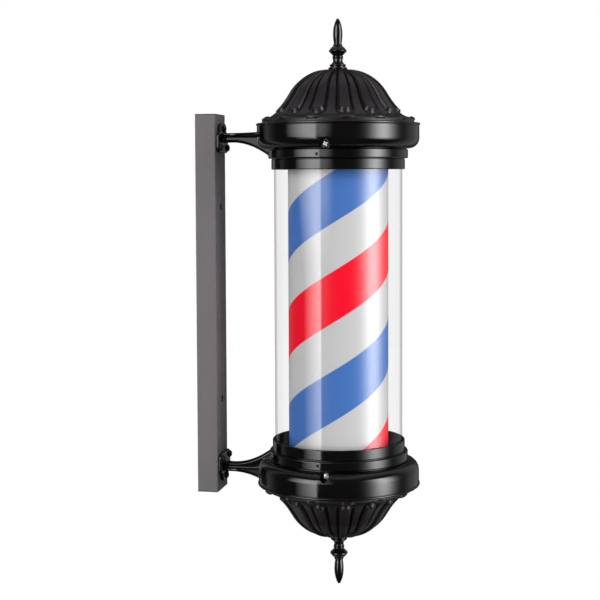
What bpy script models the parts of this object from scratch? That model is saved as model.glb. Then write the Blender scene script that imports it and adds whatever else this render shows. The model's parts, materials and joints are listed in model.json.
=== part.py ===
"""Wall-mounted barber pole light.

A rectangular rail stands against the wall plane X = 0, centred on Y = 0 and Z = 0, and two cast arms
carry the lamp away from it along +X. The lamp is a clear tube between two stepped collars, closed by
fluted domes and turned finials. Inside, a striped drum turns round a fixed light column, driven by a
gear motor and a pinion. The upper and lower ends are the same pieces turned over.
"""

import math

import bmesh
import bpy
from mathutils import Matrix

MM = 0.001
GAP = 0.3 * MM

# Driving dimensions
AXIS_X = 177.5 * MM
HALF_HEIGHT = 355.5 * MM
TUBE_R = 80 * MM
TUBE_WALL = 3 * MM
TUBE_END_Z = 187 * MM
DRUM_R = 62.5 * MM
DRUM_WALL = 1.2 * MM
DRUM_END_Z = 184 * MM
RAIL_X = 26.5 * MM
RAIL_Y = 50 * MM
RAIL_Z = 475 * MM
RAIL_WALL = 2 * MM
RIM_Z = 169 * MM
TOP_Z = 226.2 * MM
PETALS = 14
PETAL_TURN = math.radians(3.2)
CHANNEL_DEPTH = 2.6 * MM
CHANNEL_FADE = 20 * MM
DOME_THICK = 2.5 * MM
CROWN_Z = 292 * MM
# Control points of the dome's two curves, (radius, height) in millimetres
DOME_SHOULDER = ((12, 292), (36, 292.6), (52.9, 276.7), (60, 264.7))
DOME_FLARE = ((60, 264.7), (69.5, 249), (76.3, 239.8), (94.8, 232))
DOME_FOOT_R = 95.4 * MM

# Collar steps, from the ring at the dome down to the rim at the tube
LIP_R = 102 * MM
RING_R = 101 * MM
RING_BOTTOM_Z = 194.8 * MM
RING_CORNER = 12.5 * MM
MIDDLE_R = 86.9 * MM
MIDDLE_BOTTOM_Z = 182.6 * MM
RIM_R = 83.1 * MM
DOME_SEAT_R = 96.4 * MM
DOME_SEAT_Z = 222 * MM
CAVITY_R = 90 * MM
CAVITY_Z = 206.6 * MM
CURVE_ROOM = 1.2 * MM
PLATE_SEAT_R = 84 * MM
SHOULDER_R = 74.5 * MM
SHOULDER_Z = 190 * MM
SHOULDER_THICK = 3 * MM

# Carrier plates, light column and drive
PLATE_Z = SHOULDER_Z + SHOULDER_THICK + GAP
PLATE_THICK = 1.5 * MM
PLATE_RIM = 13.5 * MM
PLATE_BACK_Z = PLATE_Z + PLATE_THICK + GAP
COLUMN_R = 12.5 * MM
COLUMN_WALL = 2 * MM
COLUMN_END_Z = 202 * MM
BORE_R = COLUMN_R + GAP
BUSH_R = 15 * MM
DISC_Z = 176 * MM
DISC_THICK = 3 * MM
DISC_SKIRT = 9 * MM
GEAR_MODULE = 1.75 * MM
GEAR_TEETH = 30
PINION_TEETH = 10
GEAR_FACE = 6 * MM
GEAR_BORE_R = 18.6 * MM
BACKLASH = 0.5 * MM
PRESSURE_ANGLE = math.radians(20)
GEAR_DISTANCE = (GEAR_TEETH + PINION_TEETH) * GEAR_MODULE / 2
MOTOR_R = 25 * MM
MOTOR_OFFSET = 48.5 * MM
MOTOR_DEPTH = 20 * MM
MOTOR_LUG_Y = 30 * MM
SHAFT_R = 3 * MM

# Fasteners
PLATE_SCREW_Z = 199.2 * MM
POCKET_R = 6.3 * MM
POCKET_FLOOR_R = 88 * MM
M4_R = 2 * MM
M6_R = 3 * MM
GRUB_Z = 187.3 * MM
GRUB_TURN = math.radians(-97.3)
STRAP_Z = 234 * MM
STRAP_HALF = 45 * MM
BOLT_TIP_Z = 304 * MM

# Arms, at the upper end
FLANGE_X = 4.5 * MM
FLANGE_LOW_Z = 189.8 * MM
FLANGE_STEP_Z = 213.5 * MM
FLANGE_HIGH_Z = 227.6 * MM
FLANGE_WIDE = 22.5 * MM
FLANGE_NARROW = 13 * MM
ARM_SCREWS = ((-16.5 * MM, 197 * MM), (16.5 * MM, 197 * MM), (0, 221 * MM))
ARM_TOP_Z = 214.8 * MM
ARM_PLATE = 4 * MM
ARM_ROOT_X = RAIL_X + GAP
ARM_WEB = 8 * MM
WEB_ROOT_Z = 202.8 * MM
WEB_DROP = 17 * MM
WEB_START_X = RAIL_X + 16 * MM
WEB_END_X = RAIL_X + 62.5 * MM
FLARE_START_X = RAIL_X + 14 * MM
FLARE_END_X = RAIL_X + 55 * MM
FLARE_ROOT_HALF = 7 * MM
FLARE_HALF = 40 * MM
FLARE_POWER = 1.8
ARM_BOLT_Z = 210.5 * MM
WALL_HOLE_Z = 122.5 * MM
WALL_HOLE_R = 2.75 * MM
ACCESS_HOLE_R = 4.75 * MM
CABLE_HOLE_R = 5 * MM
CABLE_TURN = math.radians(120)
CABLE_Z = 214 * MM

ROUND = 30
SMALL = 8
UPPER, LOWER = 1, -1
LAMP = Matrix.Translation((AXIS_X, 0, 0))
IN_XZ = Matrix(((1, 0, 0, 0), (0, 0, -1, 0), (0, 1, 0, 0), (0, 0, 0, 1)))
IN_YZ = Matrix(((0, 0, 1, 0), (1, 0, 0, 0), (0, 1, 0, 0), (0, 0, 0, 1)))

# Finish: base colour, roughness, metallic
FINISHES = {
    "gloss_black": ((0.012, 0.012, 0.014), 0.15, 0.0),
    "satin_black": ((0.030, 0.030, 0.032), 0.45, 0.0),
    "black_screw": ((0.020, 0.020, 0.022), 0.30, 0.6),
    "plated_steel": ((0.72, 0.70, 0.66), 0.25, 1.0),
    "clear_tube": ((0.95, 0.97, 0.98), 0.03, 0.0),
    "drum_film": ((0.90, 0.90, 0.90), 0.35, 0.0),
    "aluminium": ((0.80, 0.81, 0.82), 0.35, 1.0),
    "white_plastic": ((0.82, 0.82, 0.80), 0.45, 0.0),
    "black_rubber": ((0.020, 0.020, 0.020), 0.80, 0.0),
    "led_strip": ((0.88, 0.87, 0.80), 0.40, 0.0),
}


def collection(name):
    made = bpy.data.collections.new(name)
    bpy.context.scene.collection.children.link(made)
    return made


def clear_scene():
    for obj in list(bpy.data.objects):
        bpy.data.objects.remove(obj, do_unlink=True)


def finish_material(name, finish):
    colour, roughness, metallic = FINISHES[finish]
    material = bpy.data.materials.new(f"{name}_{finish}")
    material.use_nodes = True
    shader = material.node_tree.nodes["Principled BSDF"]
    shader.inputs["Base Color"].default_value = (*colour, 1)
    shader.inputs["Roughness"].default_value = roughness
    shader.inputs["Metallic"].default_value = metallic
    if finish == "clear_tube":
        shader.inputs["Transmission Weight"].default_value = 1
    return material


def place(obj, finish, parent=None):
    """Put a piece in the light's collection with its finish; without one it is a cutter."""
    if finish:
        PARTS.objects.link(obj)
        obj.data.materials.append(finish_material(obj.name, finish))
        obj.data.shade_smooth()
        obj.data.set_sharp_from_angle(angle=math.radians(35))
    else:
        CUTTERS.objects.link(obj)
        obj.hide_render = True
        obj.display_type = "WIRE"
    if parent:
        obj.parent = parent
        obj.matrix_parent_inverse = parent.matrix_world.inverted()
    return obj


def settled_mesh(obj):
    """The evaluated mesh of an object that is only a step on the way, with its seams welded."""
    bpy.context.scene.collection.objects.link(obj)
    graph = bpy.context.evaluated_depsgraph_get()
    mesh = bpy.data.meshes.new_from_object(obj.evaluated_get(graph))
    bpy.data.objects.remove(obj, do_unlink=True)
    work = bmesh.new()
    work.from_mesh(mesh)
    bmesh.ops.remove_doubles(work, verts=work.verts, dist=1e-6)
    work.to_mesh(mesh)
    work.free()
    return mesh


def turned_mesh(outline, segments, closed=True):
    """Turn an outline of (radius, height) points about Z with a Screw modifier.

    The outline closes on itself, unless it is an open surface or runs from axis to axis.
    """
    count = len(outline)
    from_axis_to_axis = outline[0][0] == 0 and outline[-1][0] == 0
    mesh = bpy.data.meshes.new("outline")
    edges = [(i, i + 1) for i in range(count - 1)]
    if closed and not from_axis_to_axis:
        edges.append((count - 1, 0))
    mesh.from_pydata([(radius, 0, height) for radius, height in outline], edges, [])
    obj = bpy.data.objects.new("outline", mesh)
    screw = obj.modifiers.new("Turn", "SCREW")
    screw.axis = "Z"
    screw.steps = segments
    screw.render_steps = segments
    screw.use_merge_vertices = True
    screw.merge_threshold = 1e-6
    return settled_mesh(obj)


def turned(name, finish, outline, at=LAMP, segments=ROUND, parent=None):
    obj = bpy.data.objects.new(name, turned_mesh(outline, segments))
    obj.matrix_world = at
    return place(obj, finish, parent)


def slab(name, finish, outlines, thickness, at, parent=None):
    """A flat outline, with any holes after it, extruded by its thickness about its own plane."""
    curve = bpy.data.curves.new(name, "CURVE")
    curve.dimensions = "2D"
    curve.fill_mode = "BOTH"
    curve.extrude = thickness / 2
    for outline in outlines:
        spline = curve.splines.new("POLY")
        spline.points.add(len(outline) - 1)
        spline.use_cyclic_u = True
        for point, (x, y) in zip(spline.points, outline):
            point.co = (x, y, 0, 1)
    mesh = settled_mesh(bpy.data.objects.new(name, curve))
    obj = bpy.data.objects.new(name, mesh)
    obj.matrix_world = at
    return place(obj, finish, parent)


def cylinder(name, finish, radius, depth, at, segments=SMALL):
    """A cylinder along the local Z of its matrix, centred on it."""
    mesh = bpy.data.meshes.new(name)
    work = bmesh.new()
    bmesh.ops.create_cone(
        work, cap_ends=True, segments=segments, radius1=radius, radius2=radius, depth=depth
    )
    work.to_mesh(mesh)
    work.free()
    obj = bpy.data.objects.new(name, mesh)
    obj.matrix_world = at
    return place(obj, finish)


def box(name, finish, low, high):
    mesh = bpy.data.meshes.new(name)
    size = [b - a for a, b in zip(low, high)]
    centre = [(a + b) / 2 for a, b in zip(low, high)]
    work = bmesh.new()
    bmesh.ops.create_cube(work, size=1, matrix=Matrix.Diagonal((*size, 1)))
    work.to_mesh(mesh)
    work.free()
    obj = bpy.data.objects.new(name, mesh)
    obj.location = centre
    return place(obj, finish)


def wire(name, finish, route, radius):
    """A lead along a smooth curve through its route, as a POLY spline."""
    curve = bpy.data.curves.new(name, "CURVE")
    curve.dimensions = "3D"
    curve.bevel_depth = radius
    curve.bevel_resolution = 1
    curve.use_fill_caps = True
    points = smooth_route(route)
    spline = curve.splines.new("POLY")
    spline.points.add(len(points) - 1)
    for point, place_at in zip(spline.points, points):
        point.co = (*place_at, 1)
    mesh = settled_mesh(bpy.data.objects.new(name, curve))
    return place(bpy.data.objects.new(name, mesh), finish)


def smooth_route(route, steps=3):
    """Catmull-Rom points through the route."""
    padded = [route[0], *route, route[-1]]
    points = []
    for a, b, c, d in zip(padded, padded[1:], padded[2:], padded[3:]):
        for step in range(steps):
            t = step / steps
            weights = (
                (-t + 2 * t**2 - t**3) / 2,
                (2 - 5 * t**2 + 3 * t**3) / 2,
                (t + 4 * t**2 - 3 * t**3) / 2,
                (-(t**2) + t**3) / 2,
            )
            points.append([sum(w * p[k] for w, p in zip(weights, (a, b, c, d))) for k in range(3)])
    points.append(list(route[-1]))
    return points


def combine(obj, other, operation):
    change = obj.modifiers.new(other.name, "BOOLEAN")
    change.operation = operation
    change.solver = "EXACT"
    change.object = other
    return obj


def cut(obj, *cutters):
    for cutter in cutters:
        combine(obj, cutter, "DIFFERENCE")
    return obj


def join(obj, *others):
    for other in others:
        combine(obj, other, "UNION")
    return obj


def arc(centre, radius, start, stop, steps):
    """Points round a circle from one angle to another, in degrees, both ends included."""
    points = []
    for step in range(steps + 1):
        angle = math.radians(start + (stop - start) * step / steps)
        points.append((centre[0] + radius * math.cos(angle), centre[1] + radius * math.sin(angle)))
    return points


def circle(centre, radius, segments=SMALL):
    return arc(centre, radius, 0, 360, segments)[:-1]


def bezier(controls, steps):
    """Points along the cubic curve of four control points."""
    points = []
    for step in range(steps + 1):
        t = step / steps
        weights = ((1 - t) ** 3, 3 * (1 - t) ** 2 * t, 3 * (1 - t) * t**2, t**3)
        points.append(tuple(sum(w * p[k] for w, p in zip(weights, controls)) for k in (0, 1)))
    return points


def at_end(outline, end):
    """A turned outline as it is at the upper end, or turned over for the lower one."""
    if end == UPPER:
        return outline
    return [(radius, -height) for radius, height in reversed(outline)]


def ring(inner, outer, low, high):
    """The outline of a plain ring."""
    return [(outer, high), (outer, low), (inner, low), (inner, high)]


def end_name(end):
    return "upper" if end == UPPER else "lower"


def outward(turn, radius, height):
    """A matrix whose Z runs out from the lamp's axis, at a turn about it."""
    side = Matrix.Rotation(turn, 4, "Z") @ Matrix.Translation((radius, 0, height))
    return LAMP @ side @ Matrix.Rotation(math.pi / 2, 4, "Y")


# ---------------------------------------------------------------- wall rail and arms


def wall_rail():
    half_x, half_y = RAIL_X / 2, RAIL_Y / 2
    corner = 1.5 * MM
    outer = rounded_box(half_x, half_y, corner)
    inner = rounded_box(half_x - RAIL_WALL, half_y - RAIL_WALL, corner / 2)
    rail = slab("wall_rail", "satin_black", [outer, inner], RAIL_Z, Matrix.Translation((half_x, 0, 0)))
    across = Matrix.Rotation(math.pi / 2, 4, "Y")
    for end in (UPPER, LOWER):
        name = end_name(end)
        back = Matrix.Translation((0, 0, end * WALL_HOLE_Z)) @ across
        front = Matrix.Translation((RAIL_X, 0, end * WALL_HOLE_Z)) @ across
        cut(rail, cylinder(f"{name}_wall_hole", None, WALL_HOLE_R, RAIL_X, back))
        cut(rail, cylinder(f"{name}_access_hole", None, ACCESS_HOLE_R, RAIL_X, front, segments=16))
        for number, (y, z) in enumerate(ARM_SCREWS, 1):
            at = Matrix.Translation((RAIL_X, y, end * z)) @ across
            cut(rail, cylinder(f"{name}_tapping_{number}", None, M4_R + GAP, RAIL_X, at))
    for end, place_name in ((UPPER, "top"), (LOWER, "bottom")):
        rail_cap(f"rail_cap_{place_name}", end)


def rounded_box(half_x, half_y, radius):
    """A rectangle about the origin with its corners rounded."""
    points = []
    for number, (sx, sy) in enumerate(((1, 1), (-1, 1), (-1, -1), (1, -1))):
        centre = (sx * (half_x - radius), sy * (half_y - radius))
        points += arc(centre, radius, 90 * number, 90 * number + 90, 2)
    return points


def rail_cap(name, end):
    """A push-in plug with a thin flange over the rail's end."""
    flange, depth = 1.2 * MM, 8 * MM
    half_x, half_y = RAIL_X / 2, RAIL_Y / 2
    flange_at = Matrix.Translation((half_x, 0, end * (RAIL_Z / 2 + GAP + flange / 2)))
    cap = slab(name, "satin_black", [rounded_box(half_x, half_y, 1.5 * MM)], flange, flange_at)
    low = end * (RAIL_Z / 2 + GAP + flange / 2)
    far = end * (RAIL_Z / 2 - depth)
    inset = RAIL_WALL + GAP
    plug = box(
        f"{name}_plug",
        None,
        (inset, inset - half_y, min(low, far)),
        (RAIL_X - inset, half_y - inset, max(low, far)),
    )
    return join(cap, plug)


def flange_outline(end):
    """A shield with its wide part towards the middle of the lamp and its narrow part outside."""
    corner_low, corner_high = 7 * MM, 5 * MM
    half = arc((FLANGE_WIDE - corner_low, FLANGE_LOW_Z + corner_low), corner_low, -90, 0, 4)
    half += [(FLANGE_WIDE, FLANGE_STEP_Z), (FLANGE_NARROW, FLANGE_STEP_Z + 4 * MM)]
    half += arc((FLANGE_NARROW - corner_high, FLANGE_HIGH_Z - corner_high), corner_high, 0, 90, 4)
    return [(y, end * z) for y, z in half + [(-y, z) for y, z in reversed(half)]]


def web_outline(end):
    """The arm from the side: flat outside, a hollow curve inside that deepens towards the collar."""
    steps = 8
    points = [(ARM_ROOT_X + GAP, ARM_TOP_Z - GAP), (WEB_END_X + 4 * MM, ARM_TOP_Z - GAP)]
    lower_edge = [
        (ARM_ROOT_X + GAP, WEB_ROOT_Z - 1.5 * MM),
        (ARM_ROOT_X + FLANGE_X, WEB_ROOT_Z - 0.5 * MM),
    ]
    for step in range(steps + 1):
        t = step / steps
        x = WEB_START_X + (WEB_END_X - WEB_START_X) * t
        lower_edge.append((x, WEB_ROOT_Z - WEB_DROP * t**2))
    lower_edge.append((WEB_END_X + 4 * MM, WEB_ROOT_Z - WEB_DROP))
    return [(x, end * z) for x, z in points + list(reversed(lower_edge))]


def plate_outline():
    """The arm from above: narrow at the rail, flaring out along the ring of the collar."""
    steps = 6
    half = [(ARM_ROOT_X + GAP, FLARE_ROOT_HALF)]
    for step in range(steps + 1):
        t = step / steps
        x = FLARE_START_X + (FLARE_END_X - FLARE_START_X) * t
        half.append((x, FLARE_ROOT_HALF + (FLARE_HALF - FLARE_ROOT_HALF) * t**FLARE_POWER))
    half.append((FLARE_END_X + 10 * MM, FLARE_HALF))
    return half + [(x, -y) for x, y in reversed(half)]


def arm(end):
    name = end_name(end)
    flange_at = Matrix.Translation((ARM_ROOT_X + FLANGE_X / 2, 0, 0)) @ IN_YZ
    holes = [circle((y, end * z), M4_R + GAP) for y, z in ARM_SCREWS]
    piece = slab(f"{name}_arm", "gloss_black", [flange_outline(end), *holes], FLANGE_X, flange_at)
    web = slab(f"{name}_arm_web", None, [web_outline(end)], ARM_WEB, IN_XZ)
    plate_at = Matrix.Translation((0, 0, end * (ARM_TOP_Z - ARM_PLATE / 2)))
    plate = slab(f"{name}_arm_plate", None, [plate_outline()], ARM_PLATE, plate_at)
    room = turned(f"{name}_collar_room", None, at_end(collar_room(), end))
    join(piece, web, plate)
    bolt_span = (RING_R - 14 * MM, RING_R + 14 * MM)
    bolt_hole = radial_cutter(f"{name}_arm_bolt_hole", math.pi, M4_R + GAP, *bolt_span, end * ARM_BOLT_Z)
    cut(piece, room, bolt_hole)
    for number, (y, z) in enumerate(ARM_SCREWS, 1):
        arm_screw(f"{name}_arm_screw_{number}", y, end * z)
    arm_bolt(end)


def screw_outline(head_r, head_height, shank_r, length, dome=2):
    """A domed head standing on Z = 0 with its shank below."""
    head = [(head_r * math.sin(a), head_height * math.cos(a)) for a in arc_angles(dome)]
    return [*head, (head_r, 0), (shank_r, 0), (shank_r, -length), (0, -length)]


def arc_angles(steps):
    """Angles from the top of a dome to just above its edge."""
    return [math.radians(75) * step / steps for step in range(steps + 1)]


def arm_screw(name, y, z):
    head_x = ARM_ROOT_X + FLANGE_X + GAP
    at = Matrix.Translation((head_x, y, z)) @ Matrix.Rotation(math.pi / 2, 4, "Y")
    outline = screw_outline(4.5 * MM, 3 * MM, M4_R, FLANGE_X + RAIL_WALL + 4 * MM)
    turned(name, "black_screw", outline, at, SMALL)


def arm_bolt(end):
    """A bolt from inside the ring that draws the collar onto its arm."""
    at = outward(math.pi, CAVITY_R - CURVE_ROOM, end * ARM_BOLT_Z) @ Matrix.Rotation(math.pi, 4, "X")
    outline = screw_outline(3.5 * MM, 2.6 * MM, M4_R, 22 * MM)
    turned(f"{end_name(end)}_arm_bolt", "plated_steel", outline, at, SMALL)


# ---------------------------------------------------------------- collars, domes and finials


def outer_steps():
    """The collar's outer outline, from the top of its lip to the bottom of its rim."""
    edge = 0.5 * MM
    lip = 2.6 * MM
    corner_centre = (RING_R - RING_CORNER, RING_BOTTOM_Z + RING_CORNER)
    return [
        (LIP_R - edge, TOP_Z),
        (LIP_R, TOP_Z - edge),
        (LIP_R, TOP_Z - lip),
        (RING_R, TOP_Z - lip - edge),
        *arc(corner_centre, RING_CORNER, 0, -90, 4),
        (MIDDLE_R, RING_BOTTOM_Z - edge),
        (MIDDLE_R, MIDDLE_BOTTOM_Z + edge),
        (MIDDLE_R - edge, MIDDLE_BOTTOM_Z),
        (RIM_R, MIDDLE_BOTTOM_Z - edge),
        (RIM_R, RIM_Z + 3 * edge),
        (RIM_R - 2 * edge, RIM_Z),
    ]


def collar_room():
    """A solid round the collar's outside, one gap larger, that shapes the ends of the arms."""
    room = [(radius + GAP, height) for radius, height in outer_steps()]
    return [(0, TOP_Z + GAP), (LIP_R, TOP_Z + GAP), *room[1:], (0, RIM_Z)]


def collar_outline():
    inside = [
        (TUBE_R + GAP, RIM_Z),
        (TUBE_R + GAP, SHOULDER_Z),
        (SHOULDER_R, SHOULDER_Z),
        (SHOULDER_R, SHOULDER_Z + SHOULDER_THICK),
        (PLATE_SEAT_R, SHOULDER_Z + SHOULDER_THICK),
        (PLATE_SEAT_R, CAVITY_Z),
        (CAVITY_R, CAVITY_Z),
        (CAVITY_R, DOME_SEAT_Z),
        (DOME_SEAT_R, DOME_SEAT_Z),
        (DOME_SEAT_R, TOP_Z),
    ]
    return outer_steps() + inside


def radial_cutter(name, turn, radius, start, stop, height):
    at = outward(turn, (start + stop) / 2, height)
    return cylinder(name, None, radius, stop - start, at)


def collar(end):
    name = end_name(end)
    piece = turned(f"{name}_collar", "gloss_black", at_end(collar_outline(), end))
    for side, turn in (("front", -math.pi / 2), ("back", math.pi / 2)):
        height = end * PLATE_SCREW_Z
        pocket = (POCKET_FLOOR_R, LIP_R + 4 * MM)
        through = (PLATE_SEAT_R - 6 * MM, POCKET_FLOOR_R + 4 * MM)
        cut(piece, radial_cutter(f"{name}_pocket_{side}", turn, POCKET_R, *pocket, height))
        cut(piece, radial_cutter(f"{name}_clearance_{side}", turn, M4_R + GAP, *through, height))
        plate_screw(f"{name}_plate_screw_{side}", turn, height)
    for side, turn in (("front", GRUB_TURN), ("back", GRUB_TURN + math.pi)):
        hole = (TUBE_R - 4 * MM, MIDDLE_R + 4 * MM)
        cut(piece, radial_cutter(f"{name}_grub_hole_{side}", turn, 1.9 * MM, *hole, end * GRUB_Z))
        grub_screw(f"{name}_grub_screw_{side}", turn, end * GRUB_Z)
    bolt_hole = (CAVITY_R - 6 * MM, RING_R + 6 * MM)
    cut(piece, radial_cutter(f"{name}_bolt_hole", math.pi, M4_R + GAP, *bolt_hole, end * ARM_BOLT_Z))
    if end == LOWER:
        cable = (CAVITY_R - 6 * MM, LIP_R + 4 * MM)
        cut(piece, radial_cutter("cable_hole", CABLE_TURN, CABLE_HOLE_R, *cable, end * CABLE_Z))
        cable_grommet()
    tube_gasket(end)


def plate_screw(name, turn, height):
    outline = screw_outline(4.3 * MM, 2.6 * MM, M4_R, 7.5 * MM)
    turned(name, "plated_steel", outline, outward(turn, POCKET_FLOOR_R + GAP, height), SMALL)


def grub_screw(name, turn, height):
    length = 4.5 * MM
    outline = [(0, 0), (1.6 * MM, 0), (1.6 * MM, -length), (0, -length)]
    turned(name, "black_screw", outline, outward(turn, MIDDLE_R - 1.2 * MM, height), SMALL)


def cable_grommet():
    """A rubber grommet in the wall of the lower ring, on the side away from the front."""
    lip, neck, bore = 7 * MM, CABLE_HOLE_R - GAP, 3 * MM
    inside, outside = CAVITY_R - CURVE_ROOM, LIP_R + GAP
    outline = [
        (lip - 1 * MM, outside + 2 * MM),
        (lip, outside + 1 * MM),
        (lip, outside),
        (neck, outside),
        (neck, inside),
        (lip, inside),
        (lip, inside - 1.5 * MM),
        (bore, inside - 1.5 * MM),
        (bore, outside + 2 * MM),
    ]
    turned("cable_grommet", "black_rubber", outline, outward(CABLE_TURN, 0, -CABLE_Z), SMALL)


def tube_gasket(end):
    """A rubber ring under the tube's end."""
    outline = ring(TUBE_R - TUBE_WALL - 2 * MM, TUBE_R - GAP, TUBE_END_Z + GAP, SHOULDER_Z - GAP)
    turned(f"{end_name(end)}_tube_gasket", "black_rubber", at_end(outline, end))


def dome_outline():
    """The dome's outside, from the crown's hole down to its seat in the collar."""
    curve = bezier(DOME_SHOULDER, 3) + bezier(DOME_FLARE, 3)[1:]
    hole, foot = (M6_R + GAP, CROWN_Z), (DOME_FOOT_R, DOME_SEAT_Z + 2 * GAP)
    return [hole, *[(radius * MM, height * MM) for radius, height in curve], foot]


def channel_depth(turn, height):
    """How far the surface sinks between two petals; the channels die out at the crown and the seat."""
    across = (1 - math.cos(PETALS * turn)) / 2
    crown = min(1, max(0, (CROWN_Z - height) / CHANNEL_FADE))
    seat = min(1, max(0, (height - DOME_SEAT_Z) / CHANNEL_FADE))
    return CHANNEL_DEPTH * across * crown * seat


def dome(end):
    """An open surface, sunk into channels between its petals, with Solidify."""
    mesh = turned_mesh(dome_outline(), 3 * PETALS, closed=False)
    for vertex in mesh.vertices:
        radius = math.hypot(vertex.co.x, vertex.co.y)
        turn = math.atan2(vertex.co.y, vertex.co.x)
        kept = 1 - channel_depth(turn, vertex.co.z) / radius
        vertex.co.x *= kept
        vertex.co.y *= kept
    if end == LOWER:
        mesh.transform(Matrix.Diagonal((1, 1, -1, 1)))
        mesh.flip_normals()
    obj = bpy.data.objects.new(f"{end_name(end)}_dome", mesh)
    obj.matrix_world = LAMP @ Matrix.Rotation(PETAL_TURN, 4, "Z")
    shell = obj.modifiers.new("Shell", "SOLIDIFY")
    shell.thickness = DOME_THICK
    shell.offset = -1
    shell.use_even_offset = True
    return place(obj, "gloss_black")


def finial_outline():
    """A spear over a knop, a double bead and a flared foot, in millimetres, below the tip."""
    return [
        (3.2, 351),
        (5.0, 345.5),
        (5.9, 336.5),
        (5.0, 325.5),
        (5.9, 323),
        (7.4, 320.4),
        (11.1, 315.6),
        (6.6, 310.8),
        (6.7, 307.8),
        (6.2, 304.5),
        (10.0, 297.6),
        (10.2, 295.2),
        (11.8, 293.4),
        (11.8, 292.3),
    ]


def finial(end):
    """The turned finial, with a blind hole for the dome's bolt."""
    bore, foot = M6_R + GAP, CROWN_Z + GAP
    outline = [(0, HALF_HEIGHT)]
    outline += [(radius * MM, height * MM) for radius, height in finial_outline()]
    outline += [(bore, foot), (bore, BOLT_TIP_Z + GAP), (0, BOLT_TIP_Z + GAP)]
    turned(f"{end_name(end)}_finial", "gloss_black", at_end(outline, end), segments=14)


def strap(end):
    """A bent strip bridging the carrier plate, which the dome's bolt pulls against."""
    thick, width, foot = 2 * MM, 20 * MM, 12 * MM
    low, high = PLATE_BACK_Z, STRAP_Z
    half = [
        (STRAP_HALF, high - thick),
        (STRAP_HALF, low),
        (STRAP_HALF + foot, low),
        (STRAP_HALF + foot, low + thick),
        (STRAP_HALF + thick, low + thick),
        (STRAP_HALF + thick, high),
    ]
    outline = [(y, end * z) for y, z in half + [(-y, z) for y, z in reversed(half)]]
    name = end_name(end)
    piece = slab(f"{name}_dome_strap", "plated_steel", [outline], width, LAMP @ IN_YZ)
    hole_at = LAMP @ Matrix.Translation((0, 0, end * STRAP_Z))
    cut(piece, cylinder(f"{name}_strap_hole", None, M6_R + GAP, 10 * MM, hole_at))


def dome_bolt(end):
    """A long bolt from the strap up into the finial, with a nut on the strap."""
    head, name = 4 * MM, end_name(end)
    under = STRAP_Z - 2 * MM - GAP
    outline = [
        (0, BOLT_TIP_Z),
        (M6_R, BOLT_TIP_Z),
        (M6_R, under),
        (5.5 * MM, under),
        (5.5 * MM, under - head),
        (0, under - head),
    ]
    turned(f"{name}_dome_bolt", "plated_steel", at_end(outline, end), segments=SMALL)
    nut = [circle((0, 0), 5.6 * MM, 6), circle((0, 0), M6_R + GAP)]
    nut_at = LAMP @ Matrix.Translation((0, 0, end * (STRAP_Z + GAP + 2.5 * MM)))
    slab(f"{name}_bolt_nut", "plated_steel", nut, 5 * MM, nut_at)


# ---------------------------------------------------------------- tube, carrier plates and light


def glass_tube():
    turned("glass_tube", "clear_tube", ring(TUBE_R - TUBE_WALL, TUBE_R, -TUBE_END_Z, TUBE_END_Z))


def carrier_plate(name, end):
    """A pressed pan on the collar's shoulder, its rim taking the plated screws."""
    rim_r = PLATE_SEAT_R - GAP
    outline = [
        (rim_r, PLATE_Z + PLATE_RIM),
        (rim_r, PLATE_Z),
        (BORE_R, PLATE_Z),
        (BORE_R, PLATE_Z + PLATE_THICK),
        (rim_r - PLATE_THICK, PLATE_Z + PLATE_THICK),
        (rim_r - PLATE_THICK, PLATE_Z + PLATE_RIM),
    ]
    plate = turned(name, "satin_black", at_end(outline, end))
    for side, turn in (("front", -math.pi / 2), ("back", math.pi / 2)):
        span = (PLATE_SEAT_R - 6 * MM, PLATE_SEAT_R + 4 * MM)
        cut(plate, radial_cutter(f"{name}_hole_{side}", turn, M4_R + GAP, *span, end * PLATE_SCREW_Z))
    return plate


def column_clamp(end):
    """A flanged socket that holds the light column on its plate."""
    outline = [
        (16 * MM, COLUMN_END_Z + 3 * MM),
        (16 * MM, PLATE_BACK_Z + 3 * MM),
        (21 * MM, PLATE_BACK_Z + 3 * MM),
        (21 * MM, PLATE_BACK_Z),
        (BORE_R, PLATE_BACK_Z),
        (BORE_R, COLUMN_END_Z + 3 * MM),
    ]
    turned(f"{end_name(end)}_column_clamp", "aluminium", at_end(outline, end), segments=16)


def light_column():
    outline = ring(COLUMN_R - COLUMN_WALL, COLUMN_R, -COLUMN_END_Z, COLUMN_END_Z)
    turned("light_column", "aluminium", outline, segments=24)


def led_strips():
    """Three flat strips on the column, each a board with a row of light-emitting blocks."""
    board, block, width, chips = 1.2 * MM, 1.4 * MM, 8 * MM, 8
    half = 160 * MM
    pitch = 2 * half / chips
    outline = [(0, -half), (board, -half)]
    for number in range(chips):
        middle = -half + pitch * (number + 0.5)
        for z, out in ((-2.5, 0), (-2.5, block), (2.5, block), (2.5, 0)):
            outline.append((board + out, middle + z * MM))
    outline += [(board, half), (0, half)]
    stand = Matrix.Translation((COLUMN_R + GAP, 0, 0))
    for number in range(3):
        turn = Matrix.Rotation(2 * math.pi * number / 3, 4, "Z")
        slab(f"led_strip_{number + 1}", "led_strip", [outline], width, LAMP @ turn @ stand @ IN_XZ)


def driver_and_terminals():
    """The light's driver on the upper plate, and the mains terminals on the lower one."""
    box(
        "led_driver",
        "white_plastic",
        (AXIS_X + 26 * MM, -34 * MM, PLATE_BACK_Z),
        (AXIS_X + 60 * MM, 34 * MM, PLATE_BACK_Z + 20 * MM),
    )
    box(
        "terminal_block",
        "white_plastic",
        (AXIS_X - 56 * MM, -15 * MM, -PLATE_BACK_Z - 14 * MM),
        (AXIS_X - 40 * MM, 15 * MM, -PLATE_BACK_Z),
    )


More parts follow.
